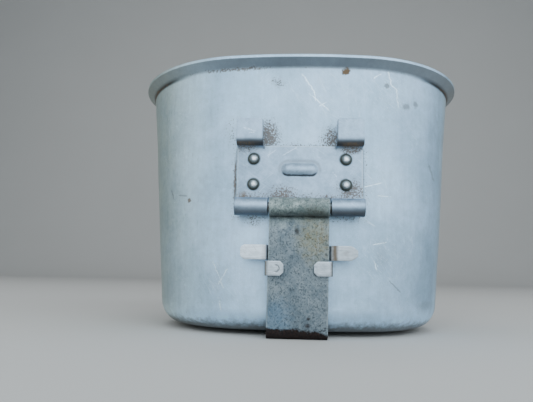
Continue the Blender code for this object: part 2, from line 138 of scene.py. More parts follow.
# Latch
LATCH_LOW, LATCH_HIGH = node_box("latch")
LATCH_SHEET = 0.8
LATCH_BEND = 1.0
TAB_HEIGHT = 5.2
CLIP_HEIGHT = 5.1
CLIP_REACH = 5.3
CLIP_CHAMFER = 1.2
TAB_TOP = LATCH_HIGH[2]
CLIP_BOTTOM = LATCH_LOW[2]
TAB_HALF_SPAN = LATCH_HIGH[0]


# --- Meshes ------------------------------------------------------------------------------------

def grid_quads(rows, columns, closed=False):
    """Corner numbers of the quads of a grid that is stored row by row."""
    row = np.arange(rows - 1)[:, None]
    column = np.arange(columns if closed else columns - 1)[None, :]
    following = (column + 1) % columns
    corners = [row * columns + column, row * columns + following,
               (row + 1) * columns + following, (row + 1) * columns + column]
    return np.stack(np.broadcast_arrays(*corners), -1).reshape(-1, 4)


def closed_rings(rings, poles):
    """Points and faces of a stack of rings, closed at both ends by a fan of faces round a pole."""
    rows, columns = rings.shape[:2]
    first_pole = rows * columns
    last_ring = first_pole - columns
    around = np.arange(columns)
    following = (around + 1) % columns
    bottom = np.stack([np.full(columns, first_pole), following, around], -1)
    top = np.stack([np.full(columns, first_pole + 1), last_ring + around, last_ring + following], -1)
    points = np.concatenate([rings.reshape(-1, 3), poles])
    return points, [grid_quads(rows, columns, closed=True), bottom, top]


def make_piece(name, points, faces, body, node, material, bevel=0.0, layers=None):
    """A smooth mesh piece from points in millimetres, which rides on a body for a CAD node."""
    mesh = bpy.data.meshes.new(name)
    mesh.from_pydata((points * MM).tolist(), [], [face for group in faces for face in group.tolist()])
    mesh.validate()
    mesh.shade_smooth()
    mesh.materials.append(material)
    for layer_name, values in (layers or {}).items():
        layer = mesh.attributes.new(layer_name, "FLOAT", "POINT")
        layer.data.foreach_set("value", values.astype(np.float32))
    piece = bpy.data.objects.new(name, mesh)
    bpy.context.scene.collection.objects.link(piece)
    if bevel:
        rounding = piece.modifiers.new("edge_rounding", "BEVEL")
        rounding.width = bevel * MM
        rounding.segments = 3
        rounding.limit_method = "ANGLE"
        rounding.angle_limit = math.radians(50)
    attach(piece, body)
    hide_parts(node)
    return piece


def sheet_patch(x, out, z, out_normal, z_normal, x_normal=0.0, kept=None):
    """A grid patch of a sheet's middle surface: points, unit normals and quads facing them.

    The arrays have one row for each step along the sheet. kept marks the quads to keep.
    """
    x, out, z, out_normal, z_normal, x_normal = np.broadcast_arrays(x, out, z, out_normal, z_normal, x_normal)
    points = np.stack([x, WALL_Y - out, z], -1)
    normals = np.stack([x_normal, -out_normal, z_normal], -1)
    normals = normals / np.linalg.norm(normals, axis=-1, keepdims=True)
    quads = grid_quads(*x.shape)
    if kept is not None:
        quads = quads[kept.reshape(-1)]
    flat_points, flat_normals = points.reshape(-1, 3), normals.reshape(-1, 3)
    corners = flat_points[quads]
    facing = np.cross(corners[:, 1] - corners[:, 0], corners[:, 3] - corners[:, 0])
    if (facing * flat_normals[quads[:, 0]]).sum() < 0:
        quads = quads[:, ::-1]
    return flat_points, flat_normals, quads


def thicken(patches, thickness):
    """One closed sheet from patches that share border points.

    Points closer than a micrometre are welded. Each point is set half the thickness forwards and
    half backwards along its normal, and every edge that only one quad has gets a side face.
    """
    offsets = np.cumsum([0] + [len(patch[0]) for patch in patches[:-1]])
    points = np.concatenate([patch[0] for patch in patches])
    normals = np.concatenate([patch[1] for patch in patches])
    quads = np.concatenate([patch[2] + offset for patch, offset in zip(patches, offsets)])
    _, first, weld = np.unique(np.round(points, 3), axis=0, return_index=True, return_inverse=True)
    summed = np.zeros((len(first), 3))
    np.add.at(summed, weld.reshape(-1), normals)
    quads = weld.reshape(-1)[quads]
    used, quads = np.unique(quads, return_inverse=True)
    quads = quads.reshape(-1, 4)
    middle = points[first][used]
    normal = summed[used] / np.linalg.norm(summed[used], axis=1, keepdims=True)
    count = len(used)
    edges = np.stack([quads, np.roll(quads, -1, axis=1)], -1).reshape(-1, 2)
    _, which, repeats = np.unique(np.sort(edges, axis=1), axis=0, return_index=True, return_counts=True)
    border = edges[which[repeats == 1]]
    sides = np.stack([border[:, 1], border[:, 0], border[:, 0] + count, border[:, 1] + count], -1)
    both = np.concatenate([middle + normal * thickness / 2, middle - normal * thickness / 2])
    return both, np.concatenate([quads, quads[:, ::-1] + count, sides])


def arc(centre, radius, first, last, steps):
    """Points of an arc in a plane, as two arrays, both ends included."""
    angle = np.linspace(first, last, steps)
    return centre[0] + radius * np.cos(angle), centre[1] + radius * np.sin(angle)


def right_normals(u, v):
    """Unit normals on the right-hand side of a plane path."""
    du, dv = np.gradient(u), np.gradient(v)
    length = np.hypot(du, dv)
    return dv / length, -du / length


# --- Cup ---------------------------------------------------------------------------------------

def plan_arcs():
    """The rim's outline as tangent arcs, counter-clockwise from the left end of the front.

    Each arc is (centre x, centre y, radius, first angle, last angle, side), and the side of the
    hollow back is -1. The front's arc and half width set the shoulders, and they set the rest.
    """
    front_angle = math.asin(FRONT_ARC_HALF / FRONT_RADIUS)
    front_y = RIM_FRONT + FRONT_RADIUS
    shoulder = (RIM_HALF - FRONT_ARC_HALF) / (1 - math.sin(front_angle))
    widest_y = front_y - (FRONT_RADIUS - shoulder) * math.cos(front_angle)
    lobe = RIM_FRONT + RIM_DEPTH - widest_y
    lobe_x, shoulder_x = RIM_HALF - lobe, RIM_HALF - shoulder
    reach = lobe + BACK_RADIUS
    back_angle = math.asin(lobe_x / reach)
    back_y = widest_y + reach * math.cos(back_angle)
    down, up = -math.pi / 2, math.pi / 2
    return np.array([
        (0.0, front_y, FRONT_RADIUS, down - front_angle, down + front_angle, 1),
        (shoulder_x, widest_y, shoulder, down + front_angle, 0.0, 1),
        (lobe_x, widest_y, lobe, 0.0, up + back_angle, 1),
        (0.0, back_y, BACK_RADIUS, down + back_angle, down - back_angle, -1),
        (-lobe_x, widest_y, lobe, up - back_angle, math.pi, 1),
        (-shoulder_x, widest_y, shoulder, math.pi, 2 * math.pi + down - front_angle, 1),
    ])


def draft(height):
    """Scale of the plan across and from front to back: straight lines from 1 at the rim."""
    drop = np.clip(1 - height / (CUP_HEIGHT - LIP_HEIGHT), 0, 1)
    across = 1 - drop * SIDE_DRAFT / (RIM_HALF - LIP_OVERHANG)
    along = 1 - drop * BACK_DRAFT / (RIM_DEPTH - 2 * LIP_OVERHANG)
    return across, along


def cup_section(spacing):
    """A function that gives the outline at an inset and a height, sampled at about a spacing.

    A point is its arc's centre plus the radius, less the inset, along its angle, then scaled by
    the draft about the middle across and about the front wall's line from front to back.
    """
    parts = []
    for centre_x, centre_y, radius, first, last, side in plan_arcs():
        count = max(4, round(abs(last - first) * radius / spacing))
        same = [np.full(count, value) for value in (centre_x, centre_y, radius, side)]
        parts.append(np.stack([*same, np.linspace(first, last, count, endpoint=False)]))
    centre_x, centre_y, radius, side, angle = np.concatenate(parts, axis=1)

    def section(inset, height, push=0.0):
        across, along = draft(height)
        reach = radius - side * inset + push
        x = (centre_x + reach * np.cos(angle)) * across
        y = WALL_Y + (centre_y + reach * np.sin(angle) - WALL_Y) * along
        return np.stack(np.broadcast_arrays(x, y, BASE_Z + height), -1)

    return section


def wall_recess(x, z):
    """How far the front wall lies behind its middle: the front or the shoulder arc's circle."""
    across, along = draft(z - BASE_Z)
    plan_x = np.abs(x) / across
    front, shoulder = plan_arcs()[:2]
    on_front = plan_x < FRONT_ARC_HALF
    centre_x = np.where(on_front, front[0], shoulder[0])
    centre_y = np.where(on_front, front[1], shoulder[1])
    reach = np.where(on_front, front[2], shoulder[2]) - LIP_OVERHANG
    y = centre_y - np.sqrt(reach ** 2 - (plan_x - centre_x) ** 2)
    return (y - WALL_Y) * along


def dents(points):
    """Shallow waves of a used wall: a few sines of place, faded out behind the hinge bracket."""
    x, y, z = points[..., 0], points[..., 1], points[..., 2]
    waves = (0.10 * np.sin(0.085 * x + 0.06 * z + 0.8) + 0.08 * np.sin(0.15 * x - 0.05 * z + 0.09 * y)
             + 0.06 * np.sin(0.11 * z - 0.13 * y + 2.0) + 0.04 * np.sin(0.31 * x + 0.23 * z))
    side = np.clip((np.abs(x) - 26) / 12, 0, 1)
    above = np.clip((z - HOOK_TOP - 2) / 10, 0, 1)
    behind = np.clip((y + 20) / 10, 0, 1)
    free = np.maximum(np.maximum(side, above), behind)
    wall = np.clip((z - BASE_Z - 4) / 10, 0, 1) * np.clip((BASE_Z + CUP_HEIGHT - 5 - z) / 8, 0, 1)
    return waves * free * wall


def lip_profile():
    """Insets and heights of the flared lip, from the wall's outer face round to its inner face.

    Two arcs about one centre bend the sheet outwards. Between them run the slant's underside, a
    small corner, the upright edge, its rounded top and the slant's upper side, as straight lines
    and arcs. Each point carries how far it is sheltered under the lip.
    """
    bend_inset, bend_z = LIP_OVERHANG - LIP_BEND, CUP_HEIGHT - LIP_HEIGHT
    bend = np.linspace(0, math.pi / 2 - LIP_SLANT, LIP_BEND_STEPS)
    reach = LIP_BEND + CUP_WALL
    lower = (bend_inset + LIP_BEND * np.cos(bend), bend_z + LIP_BEND * np.sin(bend))
    corner_z = bend_z + LIP_RISE + LIP_CORNER * (1 - math.sin(LIP_SLANT)) / math.cos(LIP_SLANT)
    corner = arc((-LIP_CORNER, corner_z), LIP_CORNER, LIP_SLANT - math.pi / 2, 0, 6)
    edge = arc((-LIP_EDGE, CUP_HEIGHT - LIP_EDGE), LIP_EDGE, 0, math.pi / 2 + LIP_SLANT, 10)
    upper = (bend_inset + reach * np.cos(bend[::-1]), bend_z + reach * np.sin(bend[::-1]))
    share = np.linspace(0, 1, 8)[1:-1]
    under = (lower[0][-1] + (-corner[0][0] - lower[0][-1]) * share,
             lower[1][-1] + (corner[1][0] - lower[1][-1]) * share)
    top = (-edge[0][-1] + (upper[0][0] + edge[0][-1]) * share,
           edge[1][-1] + (upper[1][0] - edge[1][-1]) * share)
    inset = np.concatenate([lower[0], under[0], -corner[0], -edge[0], top[0], upper[0]])
    height = np.concatenate([lower[1], under[1], corner[1], edge[1], top[1], upper[1]])
    shelter = np.zeros(len(inset))
    shelter[:len(bend)] = bend / bend[-1]
    shelter[len(bend):len(bend) + len(share) + 2] = 1
    return inset, height, shelter


def make_cup_shell(material):
    """The drawn wall, carried round the plan.

    The profile runs from the base's edge up the outer face, round the flared lip and down the
    inner face. Rings that shrink to a point close the base on both faces.
    """
    section = cup_section(RING_SPACING)
    inner_radius = BASE_CORNER - CUP_WALL
    corner_inset = LIP_OVERHANG + BASE_CORNER
    quarter = np.linspace(0, math.pi / 2, 14)
    climb = np.linspace(BASE_CORNER, CUP_HEIGHT - LIP_HEIGHT, 60)[1:-1]
    lip_inset, lip_height, lip_shelter = lip_profile()
    inset = np.concatenate([
        corner_inset - BASE_CORNER * np.sin(quarter), np.full(climb.shape, LIP_OVERHANG), lip_inset,
        np.full(climb.shape, LIP_OVERHANG + CUP_WALL), corner_inset - inner_radius * np.sin(quarter[::-1])])
    height = np.concatenate([
        BASE_CORNER - BASE_CORNER * np.cos(quarter), climb, lip_height,
        climb[::-1], BASE_CORNER - inner_radius * np.cos(quarter[::-1])])
    inset, height = inset[:, None], height[:, None]
    push = dents(section(inset, height))
    points = section(inset, height, push)
    columns = points.shape[1]
    shrink = np.linspace(1, 0, 14)[1:-1, None, None]
    middle = np.array([0.0, WALL_Y + BASE_CENTRE_BACK, 0.0])

    def base_rings(ring):
        return middle * (1 - shrink) * [1, 1, 0] + ring * [1, 1, 0] * shrink + ring * [0, 0, 1]

    underside = base_rings(points[0])
    floor = base_rings(points[-1])
    rings = np.concatenate([underside[::-1], points, floor])
    total = len(rings)
    poles = [middle + [0, 0, BASE_Z], middle + [0, 0, BASE_Z + CUP_WALL]]
    vertices, faces = closed_rings(rings, poles)
    lip_start = len(underside) + len(quarter) + len(climb)
    inside = (np.arange(total) >= lip_start + len(lip_inset) - LIP_BEND_STEPS).astype(float)
    shelter = np.zeros(total)
    shelter[lip_start:lip_start + len(lip_inset)] = lip_shelter
    layers = {"inside": np.concatenate([np.repeat(inside, columns), [0, 1]]),
              "shelter": np.concatenate([np.repeat(shelter, columns), [0, 0]])}
    return make_piece("cup_shell", vertices, faces, "cup", "cup_body",
                      material, layers=layers)


# --- Hinge bracket -----------------------------------------------------------------------------

def plate_out(x, z):
    """The bracket's middle surface follows the wall at a small gap."""
    return FIT_GAP + BRACKET_SHEET / 2 - wall_recess(x, z)


def bump_rise(x, z):
    """The pressed bump: a half-round bar with round ends and a soft foot.

    The share of its half height that a point lies from the bar's middle line goes through a
    cosine, and a power below one makes the flank steep.
    """
    along = np.maximum(np.abs(x) - (BUMP_HALF_WIDTH - BUMP_HALF_HEIGHT), 0)
    share = np.clip(np.hypot(along, z - BUMP_Z) / BUMP_HALF_HEIGHT, 0, 1)
    return BUMP_RISE * np.power(0.5 + 0.5 * np.cos(math.pi * share), BUMP_FLANK)


def bracket_columns():
    """x of the bracket's grid lines, with lines on the edges of its knuckles and hooks."""
    inner = np.linspace(0, KNUCKLE_INNER, 40)
    relief = np.linspace(KNUCKLE_INNER, HOOK_INNER - HOOK_RELIEF, 5)[1:]
    outer = np.linspace(HOOK_INNER, BRACKET_HALF, 24)
    right = np.concatenate([inner, relief, outer])
    return np.concatenate([-right[:0:-1], right])


def plate_patch(x):
    """The flat of the bracket, without the strips above its hooks' roots and the relief cuts."""
    root = HOOK_FLOOR - HOOK_BEND
    z = np.concatenate([np.linspace(PLATE_BOTTOM, root, 50), np.linspace(root, PLATE_TOP, 7)[1:]])[:, None]
    out = plate_out(x, z) + bump_rise(x, z)
    middle = 0.5 * np.abs(x[:-1] + x[1:])
    lower_quads = 0.5 * (z[:-1] + z[1:]) < root
    slope = np.gradient(bump_rise(x, z), z[:, 0], axis=0)
    side_slope = np.gradient(bump_rise(x, z), x, axis=1)
    kept = lower_quads | (middle < HOOK_INNER - HOOK_RELIEF)
    return sheet_patch(x, out, z, 1.0, -slope, -side_slope, kept)


def knuckle_patch(x):
    """From the plate a straight line to the circle round the pin, then most of the way round it."""
    radius = BORE_RADIUS + BRACKET_SHEET / 2
    start = plate_out(x, PLATE_BOTTOM)
    back, above = start - HINGE_OUT, PLATE_BOTTOM - AXIS_Z
    touch = np.arctan2(above, back) + np.arccos(radius / np.hypot(back, above))
    angle = touch + np.linspace(0, KNUCKLE_WRAP, 60)[:, None]
    out = HINGE_OUT + radius * np.cos(angle)
    z = AXIS_Z + radius * np.sin(angle)
    share = np.linspace(0, 1, 5)[:-1, None]
    out_line = start + (out[0] - start) * share
    z_line = PLATE_BOTTOM + (z[0] - PLATE_BOTTOM) * share
    turned = np.concatenate([np.repeat(angle[:1], 4, axis=0), angle])
    return sheet_patch(x, np.concatenate([out_line, out]), np.concatenate([z_line, z]),
                       -np.cos(turned), -np.sin(turned))


def hook_patch(x):
    """From the plate a quarter bend forwards, a flat, a quarter bend up and the hook's leaf.

    Near its top the leaf narrows by quarter circles, which round its corners.
    """
    corner = HOOK_CORNER
    start = plate_out(x, HOOK_FLOOR - HOOK_BEND)
    first = np.linspace(math.pi, math.pi / 2, 10)[:, None]
    second = np.linspace(-math.pi / 2, 0, 12)[:, None]
    rounding = np.sin(np.linspace(0, math.pi / 2, 7)[1:])
    leaf = np.concatenate([np.linspace(HOOK_FLOOR + HOOK_BEND, HOOK_TOP - corner, 12)[1:],
                           HOOK_TOP - corner + corner * rounding])[:, None]
    same = np.ones_like(x)
    out = np.concatenate([start + HOOK_BEND + HOOK_BEND * np.cos(first),
                          (HOOK_LEAF_OUT - HOOK_BEND + HOOK_BEND * np.cos(second)) * same,
                          np.full_like(leaf, HOOK_LEAF_OUT) * same])
    z = np.concatenate([(HOOK_FLOOR - HOOK_BEND + HOOK_BEND * np.sin(first)) * same,
                        (HOOK_FLOOR + HOOK_BEND + HOOK_BEND * np.sin(second)) * same, leaf * same])
    out_normal = np.concatenate([-np.cos(first), np.cos(second), np.ones_like(leaf)])
    z_normal = np.concatenate([-np.sin(first), np.sin(second), np.zeros_like(leaf)])
    over = np.clip((z[:, :1] - (HOOK_TOP - corner)) / corner, 0, 1)
    trim = corner * (1 - np.sqrt(1 - np.minimum(over, 0.9999) ** 2))
    centre = np.sign(x[0]) * (HOOK_INNER + HOOK_WIDTH / 2)
    narrowed = centre + (x - centre) * (1 - trim / (HOOK_WIDTH / 2))
    return sheet_patch(narrowed, out, z, out_normal, z_normal)


def make_bracket(material):
    """Plate, two knuckles and two hooks, welded where they meet."""
    x = bracket_columns()
    patches = [plate_patch(x)]
    for side in (-1, 1):
        at_knuckle = x[side * x > KNUCKLE_INNER - 1e-6]
        at_hook = x[side * x > HOOK_INNER - 1e-6]
        patches += [knuckle_patch(at_knuckle), hook_patch(at_hook)]
    points, quads = thicken(patches, BRACKET_SHEET)
    return make_piece("bracket", points, [quads], "cup", "hinge_bracket",
                      material, bevel=0.22)


# --- Turned pieces -----------------------------------------------------------------------------

def turned(radius, height, origin, axis, across, segments):
    """A profile turned round an axis: radius times a circle of two directions, plus height.

    The profile's first and last points lie on the axis and become the poles.
    """
    axis = np.array(axis) / np.linalg.norm(axis)
    across = np.array(across) - axis * np.dot(across, axis)
    across = across / np.linalg.norm(across)
    third = np.cross(axis, across)
    angle = np.linspace(0, 2 * math.pi, segments, endpoint=False)[None, :, None]
    circle = np.cos(angle) * across + np.sin(angle) * third
    rings = origin + radius[1:-1, None, None] * circle + height[1:-1, None, None] * axis
    return closed_rings(rings, [origin + height[0] * axis, origin + height[-1] * axis])


def make_rivets(material):
    """Rivets with a domed head outside and a flattened tail inside, along the wall's normal."""
    seat = FIT_GAP + BRACKET_SHEET + 0.02
    inner_seat = -CUP_WALL - 0.05
    dome = np.linspace(0, math.pi / 2, 14)
    tail_radius = [0, 1.2, 1.9, 2.2, RIVET_TAIL, RIVET_TAIL]
    tail_drop = np.array([0.85, 0.83, 0.72, 0.5, 0.25, 0])
    radius = np.concatenate([tail_radius, [RIVET_SHANK, RIVET_SHANK, RIVET_HEAD * 0.97],
                             RIVET_HEAD * np.cos(dome) ** 0.9])
    height = np.concatenate([inner_seat - tail_drop, [inner_seat, seat, seat],
                             seat + 0.12 + RIVET_DOME * np.sin(dome)])
    radius[-1] = 0
    for side, sign in (("left", -1), ("right", 1)):
        for level, z in RIVET_HEIGHTS.items():
            x = sign * RIVET_X
            slope = wall_recess(x + 0.5, z) - wall_recess(x - 0.5, z)
            origin = np.array([x, WALL_Y + wall_recess(x, z), z])
            points, faces = turned(radius, height, origin, (slope, -1.0, 0.0), (0, 0, 1), 40)
            make_piece(f"rivet_{level}_{side}_dome", points, faces, "cup", f"rivet_{level}_{side}",
                       material)


def make_pin(material):
    """The hinge pin, with slightly domed, hammered ends."""
    half = BRACKET_HALF
    end = np.linspace(0, math.pi / 2, 8)
    bulge, edge = 0.35, PIN_RADIUS
    radius = np.concatenate([edge * np.sin(end), edge * np.cos(end)])
    height = np.concatenate([-half + bulge - bulge * np.cos(end), half - bulge + bulge * np.sin(end)])
    radius[-1] = 0
    origin = np.array([0, WALL_Y - HINGE_OUT, AXIS_Z])
    points, faces = turned(radius, height, origin, (1, 0, 0), (0, 0, 1), 40)
    return make_piece("pin", points, faces, "cup", "hinge_pin", material)


# --- Handle ------------------------------------------------------------------------------------

def handle_path():
    """Out and z along the strap: round the pin, down the front, round the bend and to the tip.

    Where the curl meets the strap, averaging each point with its neighbours softens the kink.
    """
    radius = BORE_RADIUS + HANDLE_SHEET / 2
    strap = HINGE_OUT - HANDLE_SHEET / 2
    start = (strap, AXIS_Z - JOGGLE_DEPTH)
    back, below = start[0] - HINGE_OUT, start[1] - AXIS_Z
    touch = math.atan2(below, back) % (2 * math.pi) - math.acos(radius / math.hypot(back, below))
    curl = arc((HINGE_OUT, AXIS_Z), radius, CURL_START, touch, CURL_STEPS)
    slope = np.linspace(0, 1, 8)[1:-1]
    slant = (curl[0][-1] + (start[0] - curl[0][-1]) * slope, curl[1][-1] + (start[1] - curl[1][-1]) * slope)
    bend = HANDLE_BEND + HANDLE_SHEET / 2
    grip_z = HANDLE_SHEET / 2
    down = np.linspace(start[1], grip_z + bend, 50)[:-1]
    corner = arc((strap - bend, grip_z + bend), bend, 0, -math.pi / 2, 16)
    tip_start = GRIP_TIP_OUT + GRIP_END
    flat = np.linspace(strap - bend, tip_start, 60)[1:]
    tip = GRIP_TIP_OUT + GRIP_END * (1 - np.sin(np.linspace(0, math.radians(87), 20)[1:]))
    out = np.concatenate([curl[0], slant[0], np.full(down.shape, strap), corner[0], flat, tip])
    level = np.full(len(flat) + len(tip), grip_z)
    z = np.concatenate([curl[1], slant[1], down, corner[1], level])
    joint = slice(CURL_STEPS, CURL_STEPS + 14)
    for _ in range(2):
        out[joint] = 0.25 * np.roll(out, 1)[joint] + 0.5 * out[joint] + 0.25 * np.roll(out, -1)[joint]
    return out, z


def make_handle(material):
    """The strap, swept across its path. It leans a little to the left within its hinge's play."""
    out, z = handle_path()
    out_normal, z_normal = right_normals(out, z)
    on_grip = (z < HANDLE_SHEET) & (out < HINGE_OUT - 5)
    over = np.where(on_grip, np.clip((GRIP_TIP_OUT + GRIP_END - out) / GRIP_END, 0, 1), 0)
    half = HANDLE_HALF * np.sqrt(1 - np.minimum(over, 0.9995) ** 2)
    lean = -HANDLE_LEAN * np.clip(AXIS_Z - 4 - z, 0, None)
    across = np.linspace(-1, 1, 30)
    x = half[:, None] * across + lean[:, None]
    patch = sheet_patch(x, out[:, None], z[:, None], out_normal[:, None], z_normal[:, None])
    points, quads = thicken([patch], HANDLE_SHEET)
    return make_piece("strap_handle", points, [quads], "handle", "handle",
                      material, bevel=0.2)


# --- Latch -------------------------------------------------------------------------------------

def latch_band(front_out, reach, inward, rows):
    """Right half of a band in plan: behind the strap, round its edge, then along its front.

    inward turns the end back over the strap, as the clips do. The tabs run on outwards.
    """
    back_out = HINGE_OUT - HANDLE_SHEET - FIT_GAP - LATCH_SHEET / 2
    riser = HANDLE_HALF + FIT_GAP + LATCH_SHEET / 2 + 0.2
    behind = np.linspace(0, riser - LATCH_BEND, 14)[:-1]
    turn = arc((riser - LATCH_BEND, back_out + LATCH_BEND), LATCH_BEND, -math.pi / 2, 0, 9)
    if inward:
        over = arc((riser - LATCH_BEND, front_out - LATCH_BEND), LATCH_BEND, 0, math.pi / 2, 9)
        ends = np.linspace(riser - LATCH_BEND, reach, rows)[1:]
    else:
        over = arc((riser + LATCH_BEND, front_out - LATCH_BEND), LATCH_BEND, math.pi, math.pi / 2, 9)
        ends = reach - (reach - riser - LATCH_BEND) * (1 - np.linspace(0, 1, rows)[1:]) ** 1.6
    x = np.concatenate([behind, turn[0], over[0], ends])
    out = np.concatenate([np.full(behind.shape, back_out), turn[1], over[1], np.full(ends.shape, front_out)])
    return x, out, len(behind) - 1


def both_sides(x, out):
    """A half band with its mirror image: x, out and right-hand normals from left to right."""
    x, out = np.concatenate([-x[:0:-1], x]), np.concatenate([out[:0:-1], out])
    return x, out, *right_normals(x, out)


def make_latch(material):
    """Tab band above, clip band below, joined behind the strap by a short web."""
    tab_x, tab_out, shared = latch_band(HINGE_OUT + LATCH_SHEET / 2, TAB_HALF_SPAN, False, 26)
    clip_x, clip_out, _ = latch_band(HINGE_OUT + FIT_GAP + LATCH_SHEET / 2, CLIP_REACH, True, 16)
    levels = np.linspace(0, 1, 9)[:, None]
    tab_low, clip_high = TAB_TOP - TAB_HEIGHT, CLIP_BOTTOM + CLIP_HEIGHT
    patches = []

    x, out, x_normal, out_normal = both_sides(tab_x, tab_out)
    left = np.clip((-x - TAB_HALF_SPAN + 1.9) / 1.9, 0, 1)
    right = np.clip((x - TAB_HALF_SPAN + 2.6) / 2.6, 0, 1)
    trim = 1.9 * (1 - np.sqrt(1 - np.minimum(left, 0.985) ** 2)) + 1.7 * right ** 1.5
    z = tab_low + trim + (TAB_HEIGHT - 2 * trim) * levels
    patches.append(sheet_patch(x, out, z, out_normal, 0.0, x_normal))

    x, out, x_normal, out_normal = both_sides(clip_x, clip_out)
    lip = np.arange(len(x))
    over_strap = (lip < 16) | (lip >= len(x) - 16)
    trim = CLIP_CHAMFER * np.clip(1 - (np.abs(x) - CLIP_REACH) / CLIP_CHAMFER, 0, 1) * over_strap
    z = CLIP_BOTTOM + trim + (CLIP_HEIGHT - 2 * trim) * levels
    patches.append(sheet_patch(x, out, z, out_normal, 0.0, x_normal))

    middle = len(x) // 2
    inside = slice(middle - shared, middle + shared + 1)
    z = clip_high + (tab_low - clip_high) * np.array([[0.0], [1.0]])
    patches.append(sheet_patch(x[inside], out[inside], z, out_normal[inside], 0.0, x_normal[inside]))
    points, quads = thicken(patches, LATCH_SHEET)
    return make_piece("sliding_latch", points, [quads], "latch", "latch",
                      material, bevel=0.12)


# --- Shader helpers ----------------------------------------------------------------------------

DIRT_SHINE = 0.15


class Value:
    """A number in a shader. Python arithmetic on it adds Math nodes."""

    def __init__(self, paint, socket):
        self.paint, self.socket = paint, socket

    def __add__(self, other): return self.paint.math("ADD", self, other)
    def __radd__(self, other): return self.paint.math("ADD", other, self)
    def __sub__(self, other): return self.paint.math("SUBTRACT", self, other)
    def __rsub__(self, other): return self.paint.math("SUBTRACT", other, self)
    def __mul__(self, other): return self.paint.math("MULTIPLY", self, other)
    def __rmul__(self, other): return self.paint.math("MULTIPLY", other, self)
    def __truediv__(self, other): return self.paint.math("DIVIDE", self, other)
    def __abs__(self): return self.paint.math("ABSOLUTE", self)


